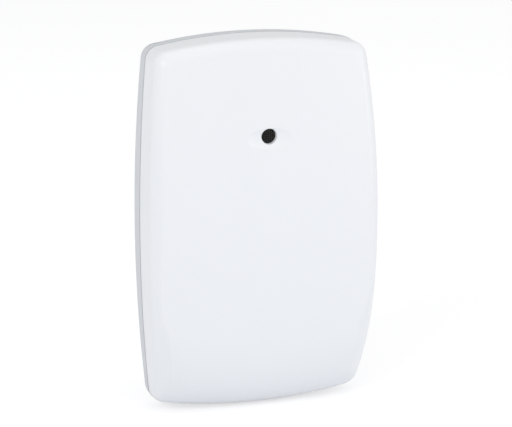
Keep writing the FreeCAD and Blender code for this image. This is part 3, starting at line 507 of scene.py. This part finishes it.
def smooth_copy(node_name, crisp=None, mend=None):
    """A merged copy of a CAD node with its own corner normals. It stands for the node."""
    node = frame["nodes"][node_name]
    work = merged(node_name)
    work.normal_update()
    if mend:
        mend(work)
        work.normal_update()
    for face in work.faces:
        face.smooth = True
    for edge in work.edges:
        turn = edge.calc_face_angle() if edge.is_manifold else math.pi
        soft = turn < SOFT_ANGLE and not (crisp and crisp(edge, turn))
        edge.smooth = soft or any(map(is_thin, edge.link_faces))
    normals = corner_normals(work)
    mesh = bpy.data.meshes.new("smooth_" + node_name)
    work.to_mesh(mesh)
    work.free()
    mesh.normals_split_custom_set(normals)
    for material in node.data.materials:
        mesh.materials.append(material)
    copy = bpy.data.objects.new("smooth_" + node_name, mesh)
    bpy.context.scene.collection.objects.link(copy)
    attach(copy, node["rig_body"])
    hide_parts(node_name)
    print(copy.name, len(mesh.polygons), "faces")


work = merged("front_cover")
loose = len(frame["nodes"]["front_cover"].data.vertices)
print("front_cover:", loose, "vertices, merged:", len(work.verts))

# %% [markdown]
# The base needs nothing more. The cover needs two things. Its scoop is cut so flat that the light would
# flow over its rim, while the photograph shows a crisp line there. So the edges of the rim are kept
# sharp, found by their place: round the port, on the face, and just outside the port's own rounding.

# %% Rim of the scoop
PORT_HEIGHT = 25 * mm
SCOOP_HALF_WIDTH, SCOOP_HALF_HEIGHT = 7.2 * mm, 3.2 * mm
FACE_DEPTH = 18 * mm
PORT_REACH = 2.5 * mm
CRISP_ANGLE = math.radians(7)


def scoop_edge(edge, turn):
    """True for an edge of the scoop's rim, which meets the crown in a crisp line though it is flat."""
    places = [(vert.co.x, vert.co.y, vert.co.z - PORT_HEIGHT) for vert in edge.verts]
    near = all(abs(x) < SCOOP_HALF_WIDTH and abs(z) < SCOOP_HALF_HEIGHT and y < -FACE_DEPTH
               for x, y, z in places)
    beyond_port = all(math.hypot(x, z) > PORT_REACH for x, y, z in places)
    return near and beyond_port and turn > CRISP_ANGLE


work.normal_update()
print("rim edges:", sum(scoop_edge(edge, edge.calc_face_angle(0)) for edge in work.edges))
work.free()

# %% [markdown]
# The other is a mend. Low on either side, the crown of the solid ends a few tenths of a millimetre proud
# of the rounded edge, and light would catch the small step between them. A moulding has none there. The
# step's walls are found by where they stand and look, and each of their corners moves in depth to half
# way between the crown's border and the rounding's. The walls shrink to slivers, and the surface stays
# closed.

# %% Step beside the crown
STEP_FROM, STEP_TO = 24 * mm, 26.3 * mm
STEP_DEPTH, STEP_HEIGHT = 12 * mm, 0.7 * mm
WALL_TILT, ROUNDING_TILT, CROWN_TILT = 0.9, 0.5, 0.22


def is_step_wall(face):
    """True for a narrow upright face beside the crown."""
    middle = face.calc_center_median()
    in_place = STEP_FROM < abs(middle.x) < STEP_TO and middle.y < -STEP_DEPTH
    return in_place and abs(face.normal.x) > WALL_TILT and is_thin(face, STEP_HEIGHT)


def border(verts, least, most):
    """Those vertices that also belong to a face which leans to the side by such an amount."""
    return [vert for vert in verts
            if any(least <= abs(face.normal.x) < most for face in vert.link_faces)]


def depth_at(line, z):
    """The depth of a line of vertices at a height, between its two nearest vertices."""
    below = max((vert for vert in line if vert.co.z <= z), key=lambda vert: vert.co.z, default=None)
    above = min((vert for vert in line if vert.co.z >= z), key=lambda vert: vert.co.z, default=None)
    if not (below and above):
        return (below or above).co.y
    gap = above.co.z - below.co.z
    share = (z - below.co.z) / gap if gap else 0.0
    return below.co.y + share * (above.co.y - below.co.y)


def close_step(work):
    """Lets the crown and the edge rounding meet half way along the step."""
    walls = [face for face in work.faces if is_step_wall(face)]
    moved = 0.0
    for side in (-1, 1):
        corners = list(dict.fromkeys(vert for face in walls if face.calc_center_median().x * side > 0
                                     for vert in face.verts))
        crown, rounding = border(corners, 0.0, CROWN_TILT), border(corners, CROWN_TILT, ROUNDING_TILT)
        if not (crown and rounding):
            continue
        goals = [(depth_at(crown, vert.co.z) + depth_at(rounding, vert.co.z)) / 2 for vert in corners]
        for vert, depth in zip(corners, goals):
            moved = max(moved, abs(depth - vert.co.y))
            vert.co.y = depth
    print("step walls:", len(walls), "moved by up to %.2f mm" % (moved / mm))


smooth_copy("front_cover", scoop_edge, close_step)
smooth_copy("rear_base")

# %% [markdown]
# The small parts come next. Many of them stand where a CAD solid stands, so the first helper finds the
# separate solids of a node. Two more make the shapes that they share: a profile spun about an axis
# square to the wall, and a box. The others sort what the bmesh operators take and give back. They keep
# the order of the mesh, so each run of the script gives the same result.

# %% Helpers for shapes
VERT, EDGE, FACE = bmesh.types.BMVert, bmesh.types.BMEdge, bmesh.types.BMFace


def islands(node_name):
    """Lowest and highest corner of each separate solid of a CAD node, from left to right."""
    work = merged(node_name)
    left, boxes = set(work.verts), []
    while left:
        piece = [left.pop()]
        for vert in piece:
            near = {edge.other_vert(vert) for edge in vert.link_edges} & left
            left -= near
            piece.extend(near)
        axes = list(zip(*(vert.co for vert in piece)))
        boxes.append((Vector([min(axis) for axis in axes]), Vector([max(axis) for axis in axes])))
    work.free()
    return sorted(boxes, key=lambda ends: (round(ends[0].x, 5), ends[0].z))


def turned(work, profile, centre, steps=32):
    """Spins (radius, depth) points about an axis square to the wall. Gives the vertices."""
    start = [work.verts.new((radius, -depth, 0)) for radius, depth in profile]
    edges = [work.edges.new(pair) for pair in zip(start, start[1:])]
    before = set(work.verts) - set(start)
    bmesh.ops.spin(work, geom=start + edges, axis=(0, 1, 0), cent=(0, 0, 0), angle=math.tau, steps=steps,
                   use_merge=True)
    fresh = [vert for vert in work.verts if vert not in before]
    bmesh.ops.remove_doubles(work, verts=fresh, dist=2 * MERGE)
    fresh = [vert for vert in work.verts if vert not in before]
    bmesh.ops.translate(work, verts=fresh, vec=(centre.x, 0, centre.z))
    return fresh


def block(work, low, high):
    """A box between two corners. Gives its vertices."""
    place = Matrix.Translation((low + high) / 2) @ Matrix.Diagonal((*(high - low), 1.0))
    return bmesh.ops.create_cube(work, size=1.0, matrix=place)["verts"]


def only(kind, geom):
    """The vertices, edges or faces among what an operator gave back."""
    return [part for part in geom if isinstance(part, kind)]


def with_faces(verts):
    """Vertices together with their faces and the edges of those, as an operator's input."""
    faces = list(dict.fromkeys(face for vert in verts for face in vert.link_faces))
    return faces + list(dict.fromkeys(edge for face in faces for edge in face.edges)) + list(verts)


print("terminal screws found:", len(islands("terminal_screws")))

# %% [markdown]
# A finished bmesh becomes a piece of the model here. The piece rides a body, takes its material from a
# slot's finish unless another is given, and may stand for CAD nodes. It also counts its open edges,
# since an open mesh is a fault that no render shows.

# %% From bmesh to piece
def new_piece(name, work, body, finish_slot, stands_for=(), material=None, soft=SOFT_ANGLE):
    """Makes a piece from a bmesh, smooth up to an angle, in its slot's finish or in another."""
    bmesh.ops.recalc_face_normals(work, faces=work.faces)
    for face in work.faces:
        face.smooth = True
    for edge in work.edges:
        edge.smooth = edge.is_manifold and edge.calc_face_angle() < soft
    mesh = bpy.data.meshes.new(name)
    work.to_mesh(mesh)
    mesh.materials.append(material or FINISHES[finish_slot])
    piece = bpy.data.objects.new(name, mesh)
    bpy.context.scene.collection.objects.link(piece)
    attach(piece, body)
    if stands_for:
        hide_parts(*stands_for)
    open_edges = sum(not edge.is_manifold for edge in work.edges)
    work.free()
    print(name, len(mesh.polygons), "faces", open_edges, "open edges")
    return piece


def stand_in(name, work, node_name, soft=SOFT_ANGLE):
    """A piece that takes the place of a CAD node, with its body and its finish."""
    return new_piece(name, work, body_of(node_name), slot_of[node_name], [node_name], soft=soft)


print("finishes to choose from:", sorted(FINISHES))

# %% [markdown]
# Behind the sound port sits a woven wire mesh. In the photograph it is a black disc with a few fine
# glints. Each wire is a thin six-sided rod that waves over and under its neighbours, cut to the disc,
# and a flat ring holds them all. A bump map could fake the weave, but the glints come from the round
# wires.

# %% Port mesh
WIRE = 0.07 * mm
WIRE_PITCH = 0.5 * mm
WIRE_GAP = 0.1 * mm
EDGE_GAP = 0.3 * mm
RING_WIDTH = 0.35 * mm


def add_wire(work, spare, offset, length, along_x, phase):
    """One wire: a rod with two cuts per crossing, whose rings then move up or down."""
    turn = Matrix.Rotation(math.pi / 2, 4, "Y") if along_x else Matrix.Identity(4)
    rod = bmesh.new()
    bmesh.ops.create_cone(rod, segments=6, radius1=WIRE, radius2=WIRE, depth=length, cap_ends=True,
                          matrix=turn)
    long_edges = [edge for edge in rod.edges if edge.calc_length() > length / 2]
    bmesh.ops.subdivide_edges(rod, edges=long_edges, cuts=2 * round(length / WIRE_PITCH))
    for vert in rod.verts:
        way = vert.co.x if along_x else vert.co.z
        vert.co.y += WIRE * phase * math.cos(math.pi * way / WIRE_PITCH)
    bmesh.ops.translate(rod, verts=rod.verts, vec=(0, 0, offset) if along_x else (offset, 0, 0))
    rod.to_mesh(spare)
    rod.free()
    work.from_mesh(spare)


low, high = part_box("port_mesh")
centre, radius = (low + high) / 2, (high.x - low.x) / 2
work, spare = bmesh.new(), bpy.data.meshes.new("one_wire")
reach = int((radius - EDGE_GAP) / WIRE_PITCH)
for index in range(-reach, reach + 1):
    offset = index * WIRE_PITCH
    length = 2 * math.sqrt((radius - WIRE_GAP) ** 2 - offset ** 2)
    for along_x in (True, False):
        phase = 1 if bool(index % 2) == along_x else -1
        add_wire(work, spare, offset, length, along_x, phase)
bpy.data.meshes.remove(spare)
bmesh.ops.translate(work, verts=work.verts, vec=centre)
near, far, inside = -high.y, -low.y, radius - RING_WIDTH
turned(work, [(inside, near), (radius, near), (radius, far), (inside, far), (inside, near)], centre, 48)
stand_in("woven_port_mesh", work, "port_mesh")

# %% [markdown]
# A disc of black felt closes the front of the microphone. Without it the bright can would show through
# the mesh, and the port would read grey. Its profile gives radius and height in mm, with an eased rim.

# %% Microphone felt
FELT_PROFILE = ((0, 0), (1.95, 0), (1.95, 0.3), (1.8, 0.4), (0, 0.4))

low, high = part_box("microphone_capsule")
work = bmesh.new()
turned(work, [(across * mm, tall * mm - low.y) for across, tall in FELT_PROFILE], (low + high) / 2)
new_piece("microphone_felt", work, body_of("microphone_capsule"), "rubber", material=PLASTICS["felt"])

# %% [markdown]
# The terminal screws are headless and slotted. A capped circle is cut by two planes into three fields.
# The whole disc is extruded into the shank first, and then only the two outer fields rise again, which
# leaves the slot open at both ends as a saw would. The faces that they rose from stay behind inside the
# screw and are deleted. Each screw stands at an angle of its own, as a screwdriver leaves it.

# %% Terminal screws
SLOT_WIDTH, SLOT_DEPTH = 0.36 * mm, 0.6 * mm
FIRST_TURN, NEXT_TURN = 12, 37


def slotted_screw(work, low, high, turn):
    """A slotted grub screw in the box of its CAD solid."""
    radius, tall, middle = (high.x - low.x) / 2, high.y - low.y, (low + high) / 2
    lying = Matrix.Rotation(math.pi / 2, 4, "X")
    geom = with_faces(bmesh.ops.create_circle(work, cap_ends=True, segments=28, radius=radius,
                                              matrix=lying)["verts"])
    for side in (-1, 1):
        geom = bmesh.ops.bisect_plane(work, geom=geom, plane_co=(side * SLOT_WIDTH / 2, 0, 0),
                                      plane_no=(1, 0, 0))["geom"]
    fields = only(FACE, geom)
    foot = list(dict.fromkeys(vert for face in fields for vert in face.verts))
    shank = bmesh.ops.extrude_face_region(work, geom=fields)["geom"]
    bmesh.ops.translate(work, verts=only(VERT, shank), vec=(0, SLOT_DEPTH - tall, 0))
    lands = [face for face in only(FACE, shank) if abs(face.calc_center_median().x) > SLOT_WIDTH / 2]
    tips = only(VERT, bmesh.ops.extrude_face_region(work, geom=lands)["geom"])
    bmesh.ops.translate(work, verts=tips, vec=(0, -SLOT_DEPTH, 0))
    whole = foot + only(VERT, shank) + tips
    bmesh.ops.rotate(work, verts=whole, cent=(0, 0, 0), matrix=Matrix.Rotation(turn, 3, "Y"))
    bmesh.ops.translate(work, verts=whole, vec=(middle.x, high.y, middle.z))


work = bmesh.new()
for index, (low, high) in enumerate(islands("terminal_screws")):
    slotted_screw(work, low, high, math.radians(FIRST_TURN + NEXT_TURN * index))
stand_in("slotted_terminal_screws", work, "terminal_screws")

# %% [markdown]
# The two board screws have pan heads with a cross recess. The head is spun up to a flat land. The
# cross is a twelve-cornered loop that a bridge of faces joins to the land's rim, and it is pressed in
# with a taper, as the driver's tip is. The head's profile gives each ring's share of the head's radius,
# and its height above the board in mm.

# %% Board screws
HEAD_PROFILE = ((1.0, 0.0), (1.0, 0.6), (0.94, 0.95), (0.78, 1.25), (0.6, 1.4))
HEAD_HEIGHT = HEAD_PROFILE[-1][1] * mm
SHANK_SHARE, TIP_SHARE, TIP_HEIGHT = 0.477, 0.6, 0.5 * mm
ARM_REACH, ARM_HALF_WIDTH = 1.05 * mm, 0.26 * mm
RECESS_DEPTH, RECESS_TAPER = 0.8 * mm, 0.6
CROSS_TURNS = (20, 65)


def press_cross(work, rim, depth):
    """A cross recess inside a rim of edges at some depth. Gives its vertices."""
    arm = [(ARM_HALF_WIDTH, ARM_REACH), (ARM_HALF_WIDTH, ARM_HALF_WIDTH), (ARM_REACH, ARM_HALF_WIDTH)]
    loop = []
    for _ in range(4):
        loop += [work.verts.new((x, -depth, z)) for x, z in arm]
        arm = [(z, -x) for x, z in arm]
    edges = [work.edges.new(pair) for pair in zip(loop, loop[1:] + loop[:1])]
    bmesh.ops.bridge_loops(work, edges=rim + edges)
    pressed = bmesh.ops.extrude_edge_only(work, edges=edges)["geom"]
    deep = only(VERT, pressed)
    bmesh.ops.scale(work, verts=deep, vec=(RECESS_TAPER, 1, RECESS_TAPER))
    bmesh.ops.translate(work, verts=deep, vec=(0, RECESS_DEPTH, 0))
    floor_edges = [edge for edge in only(EDGE, pressed) if all(vert in deep for vert in edge.verts)]
    bmesh.ops.contextual_create(work, geom=floor_edges)
    return loop + deep


def cross_screw(work, low, high, turn):
    """A pan head screw with a cross recess, in the box of its CAD solid."""
    middle, head_radius = (low + high) / 2, (high.x - low.x) / 2
    head_depth, tip_depth = -low.y, -high.y
    shank, head_foot = head_radius * SHANK_SHARE, head_depth - HEAD_HEIGHT
    profile = [(0, tip_depth), (shank * TIP_SHARE, tip_depth), (shank, tip_depth + TIP_HEIGHT),
               (shank, head_foot)]
    profile += [(head_radius * share, head_foot + tall * mm) for share, tall in HEAD_PROFILE]
    body = turned(work, profile, Vector(), 36)
    rim = [edge for edge in work.edges if edge.is_boundary and edge.verts[0] in body]
    whole = body + press_cross(work, rim, head_depth)
    bmesh.ops.rotate(work, verts=whole, cent=(0, 0, 0), matrix=Matrix.Rotation(turn, 3, "Y"))
    bmesh.ops.translate(work, verts=whole, vec=(middle.x, 0, middle.z))


work = bmesh.new()
for turn, (low, high) in zip(CROSS_TURNS, islands("board_screws")):
    cross_screw(work, low, high, math.radians(turn))
stand_in("cross_board_screws", work, "board_screws")

# %% [markdown]
# Small electrolytic capacitors: a drawn aluminium can with a rounded shoulder, and a groove where the
# rim is rolled onto the rubber. The two lists give, in mm, how far each point of the profile lies inside
# the can's radius, and how high it is above the foot or how deep below the top. The can is spun, as it
# was drawn.

# %% Capacitor cans
CAN_FOOT = ((0.1, 0), (0, 0.1), (0, 0.55), (0.28, 0.8), (0.28, 0.95), (0, 1.2))
CAN_SHOULDER = ((0, 0.45), (0.13, 0.13), (0.45, 0), (0.75, 0.02))
TOP_HOLLOW = 0.02 * mm

work = bmesh.new()
for low, high in islands("capacitor_cans"):
    radius, foot, top = (high.x - low.x) / 2, -high.y, -low.y
    profile = [(0, foot)] + [(radius - inset * mm, foot + rise * mm) for inset, rise in CAN_FOOT]
    profile += [(radius - inset * mm, top - drop * mm) for inset, drop in CAN_SHOULDER]
    profile.append((0, top - TOP_HOLLOW))
    turned(work, profile, (low + high) / 2, 40)
stand_in("crimped_cans", work, "capacitor_cans")

# %% [markdown]
# A half moon of black ink on top of each can marks the negative side. A circle is cut by a plane, the
# part beyond it is cleared away, and what is left is extruded into a skin of ink.

# %% Polarity ink
INK_INSET, INK_THICKNESS = 0.55 * mm, 0.015 * mm
INK_FROM_MIDDLE = 0.9 * mm

work = bmesh.new()
for low, high in islands("capacitor_cans"):
    middle, radius = (low + high) / 2, (high.x - low.x) / 2
    lying = (Matrix.Translation((middle.x, low.y + TOP_HOLLOW, middle.z))
             @ Matrix.Rotation(math.pi / 2, 4, "X"))
    disc = bmesh.ops.create_circle(work, cap_ends=True, segments=40, radius=radius - INK_INSET,
                                   matrix=lying)["verts"]
    bmesh.ops.bisect_plane(work, geom=with_faces(disc), plane_co=(middle.x - INK_FROM_MIDDLE, 0, 0),
                           plane_no=(1, 0, 0), clear_outer=True)
risen = bmesh.ops.extrude_face_region(work, geom=list(work.faces))["geom"]
bmesh.ops.translate(work, verts=only(VERT, risen), vec=(0, -INK_THICKNESS, 0))
new_piece("can_polarity_ink", work, body_of("capacitor_cans"), "black")

# %% [markdown]
# Moulded chips have sides that slope away from a parting line at half height, so that they leave the
# mould. Each one is a box whose top and bottom shrink. It is then cut at that line, where it grows back
# to its full size, and its edges are eased. A pale dot marks the corner of the first leg.

# %% Chip bodies
SHRINK = Vector((0.97, 1, 0.94))
CHIP_EASE = 0.12 * mm
DOT_RADIUS, DOT_THICKNESS = 0.45 * mm, 0.02 * mm
DOT_FROM_CORNER = Vector((1.0 * mm, 0, 1.05 * mm))


def moulded_chip(work, low, high):
    """A chip body in the box of its CAD solid."""
    middle = (low + high) / 2
    verts = block(work, low, high)
    for side in (-1, 1):
        end = [vert for vert in verts if (vert.co.y - middle.y) * side > 0]
        bmesh.ops.scale(work, verts=end, vec=SHRINK, space=Matrix.Translation(-middle))
    geom = with_faces(verts)
    waist = bmesh.ops.bisect_plane(work, geom=geom, plane_co=middle, plane_no=(0, 1, 0))["geom_cut"]
    bmesh.ops.scale(work, verts=only(VERT, waist), vec=[1 / share for share in SHRINK],
                    space=Matrix.Translation(-middle))
    level = [edge for edge in only(EDGE, geom)
             if edge.is_valid and abs(edge.verts[0].co.y - edge.verts[1].co.y) < 2 * MERGE]
    bmesh.ops.bevel(work, geom=level, offset=CHIP_EASE, segments=2, affect="EDGES", profile=0.5,
                    material=-1)


dots = bmesh.new()
for node_name in ("microcontroller", "amplifier_chip"):
    low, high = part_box(node_name)
    work = bmesh.new()
    moulded_chip(work, low, high)
    stand_in("moulded_" + node_name, work, node_name)
    top, under = -low.y, -low.y - DOT_THICKNESS
    turned(dots, [(0, under), (DOT_RADIUS, under), (DOT_RADIUS, top), (0, top)],
           low + DOT_FROM_CORNER, 20)
new_piece("first_leg_dots", dots, body_of("microcontroller"), "relay")

# %% [markdown]
# Every part that is soldered to the board sits on pads: flat copper islands with a skin of solder. They
# are laid under the feet that the CAD model already has, a little wider than each foot. The table gives
# that margin in mm.

# %% Solder pads
PAD_MARGINS = {"chip_legs": 0.12, "solder_feet": 0.25, "chip_ends": 0.18, "diode_ends": 0.3,
               "red_lamp": 0.2, "green_lamp": 0.2}
PAD_HEIGHT, PAD_SUNK = 0.035 * mm, 0.01 * mm

board_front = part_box("circuit_board")[0].y
work = bmesh.new()
for node_name, margin in PAD_MARGINS.items():
    edge = Vector((margin * mm, 0, margin * mm))
    for low, high in islands(node_name):
        block(work, Vector((low.x, board_front - PAD_HEIGHT, low.z)) - edge,
              Vector((high.x, board_front + PAD_SUNK, high.z)) + edge)
new_piece("solder_pads", work, body_of("circuit_board"), "solder")

# %% [markdown]
# The remaining moulded parts are plain blocks in the CAD model. On real mouldings no edge is perfectly
# sharp, and it is the thin light line along an eased edge that shows where one part ends. Each gets a
# merged copy with a fine bevel, whose width in mm is in the table. A modifier makes it, because it can
# harden the normals, which keeps the flat faces flat.

# %% Eased edges
EASED_EDGES = {
    "alarm_relay": 0.15, "surge_suppressor": 0.9, "crystal": 0.22, "diodes": 0.12, "regulator": 0.12,
    "capacitor_bases": 0.12, "tamper_switch": 0.15, "tamper_plunger": 0.2, "switch_bank": 0.12,
    "slider_1": 0.1, "slider_2": 0.1, "slider_3": 0.1, "slider_4": 0.1, "terminal_block": 0.12,
    "microphone_capsule": 0.2, "chip_capacitors": 0.06, "red_lamp": 0.1, "green_lamp": 0.1,
    "light_guides": 0.08,
}
BROAD_EDGE = 0.5 * mm
FLAT_ANGLE, SMOOTH_ANGLE, SHARP_ANGLE = math.radians(0.5), math.radians(40), math.radians(50)


def eased_copy(node_name, width):
    """A merged copy of a CAD node with its sharp edges eased. It stands for the node."""
    work = merged(node_name)
    bmesh.ops.dissolve_limit(work, angle_limit=FLAT_ANGLE, verts=work.verts, edges=work.edges)
    piece = stand_in("eased_" + node_name, work, node_name, SMOOTH_ANGLE)
    rounding = piece.modifiers.new("ease", "BEVEL")
    rounding.width = width
    rounding.segments = 4 if width > BROAD_EDGE else 2
    rounding.limit_method = "ANGLE"
    rounding.angle_limit = SHARP_ANGLE
    rounding.harden_normals = True


for node_name, width in EASED_EDGES.items():
    eased_copy(node_name, width * mm)

# %% [markdown]
# The photograph has a white ground with the softest of shadows below the case. The floor is white and
# matt, and throws its light on the case, a trace bluer than it came, as the chin in the photograph
# shows. To the camera and in reflections, about half of that white is replaced by a glow, so the ground
# reads as pure white and the shadow stays as pale as it should.

# %% Floor
FLOOR_HALF_WIDTH = 6.0
THROWN = ((0.88, 0.90, 0.94), (0.90, 0.92, 0.96))
SEEN = ((0.49, 0.49, 0.49), (0.51, 0.51, 0.51))
GLOW = 0.6


def make_ground():
    """White to the light that it throws on the case. To the camera, half white and half glow."""
    material, tree, shader = start_material("white_ground")
    place = add(tree, "ShaderNodeTexCoord").outputs["Object"]
    tone = add(tree, "ShaderNodeTexNoise", {"Vector": place, "Scale": 3.0}).outputs[0]
    shader.inputs["Roughness"].default_value = 1.0
    shader.inputs["Specular IOR Level"].default_value = 0.0
    ray = add(tree, "ShaderNodeLightPath").outputs
    mirrored = math_node(tree, "MAXIMUM", ray["Is Glossy Ray"], ray["Is Transmission Ray"])
    seen = math_node(tree, "MAXIMUM", ray["Is Camera Ray"], mirrored)
    shade = add(tree, "ShaderNodeMix", {"Factor": seen, "A": between(tree, tone, *THROWN),
                                        "B": between(tree, tone, *SEEN)}, data_type="RGBA")
    tree.links.new(shade.outputs["Result"], shader.inputs["Base Color"])
    tree.links.new(math_node(tree, "MULTIPLY", seen, GLOW), shader.inputs["Emission Strength"])
    shader.inputs["Emission Color"].default_value = (1, 1, 1, 1)
    return material


work = bmesh.new()
bmesh.ops.create_grid(work, x_segments=1, y_segments=1, size=FLOOR_HALF_WIDTH)
bmesh.ops.translate(work, verts=work.verts, vec=(0, 0, cad_box[0].z))
mesh = bpy.data.meshes.new("floor")
work.to_mesh(mesh)
work.free()
mesh.materials.append(make_ground())
floor = bpy.data.objects.new("floor", mesh)
bpy.context.scene.collection.objects.link(floor)
print("floor at z %.4f m" % cad_box[0].z)

# %% [markdown]
# The light is a bright, even studio: a pale world all round, a soft box on either side and a small one
# above. The left one is mirrored in the soft shoulder of the cover, the upper one models the scoop.
# The world also shows as white to the camera. Each row of the table names a soft box, says how many
# degrees it stands to the right of the case's front and above it, and gives its size in metres and its
# power in watts.

# %% Lights
SOFT_BOXES = (("key", -48, 30, 0.5, 3.6), ("fill", 60, 12, 0.8, 4.2), ("top", 0, 80, 0.6, 1.4))
LAMP_COLOUR = (1.0, 0.995, 0.985)
LAMP_DISTANCE = 1.2
SKY_COLOUR = (0.97, 0.985, 1.0, 1.0)
SKY_LEVEL = 0.65


def soft_box(name, turn, height, size, power):
    """A square lamp at a distance from the case, which it faces."""
    turn, height = math.radians(turn), math.radians(height)
    place = LAMP_DISTANCE * Vector((math.sin(turn) * math.cos(height),
                                    -math.cos(turn) * math.cos(height), math.sin(height)))
    data = bpy.data.lights.new(name, "AREA")
    data.size = size
    data.energy = power
    data.color = LAMP_COLOUR
    lamp = bpy.data.objects.new(name, data)
    lamp.location = place
    lamp.rotation_euler = (-place).to_track_quat("-Z", "Y").to_euler()
    bpy.context.scene.collection.objects.link(lamp)


def make_world():
    """An even sky that the camera sees as white."""
    world = bpy.data.worlds.new("studio")
    world.use_nodes = True
    tree = world.node_tree
    tree.nodes.clear()
    ray = add(tree, "ShaderNodeLightPath").outputs
    seen = math_node(tree, "MAXIMUM", ray["Is Camera Ray"], ray["Is Transmission Ray"])
    strength = add(tree, "ShaderNodeMix", {"Factor": seen, "A": SKY_LEVEL, "B": 1.0}, data_type="FLOAT")
    sky = add(tree, "ShaderNodeBackground",
              {"Color": SKY_COLOUR, "Strength": strength.outputs["Result"]})
    add(tree, "ShaderNodeOutputWorld", {"Surface": sky.outputs[0]})
    bpy.context.scene.world = world


make_world()
for row in SOFT_BOXES:
    soft_box(*row)
scene = bpy.context.scene
scene.view_settings.view_transform = "Standard"
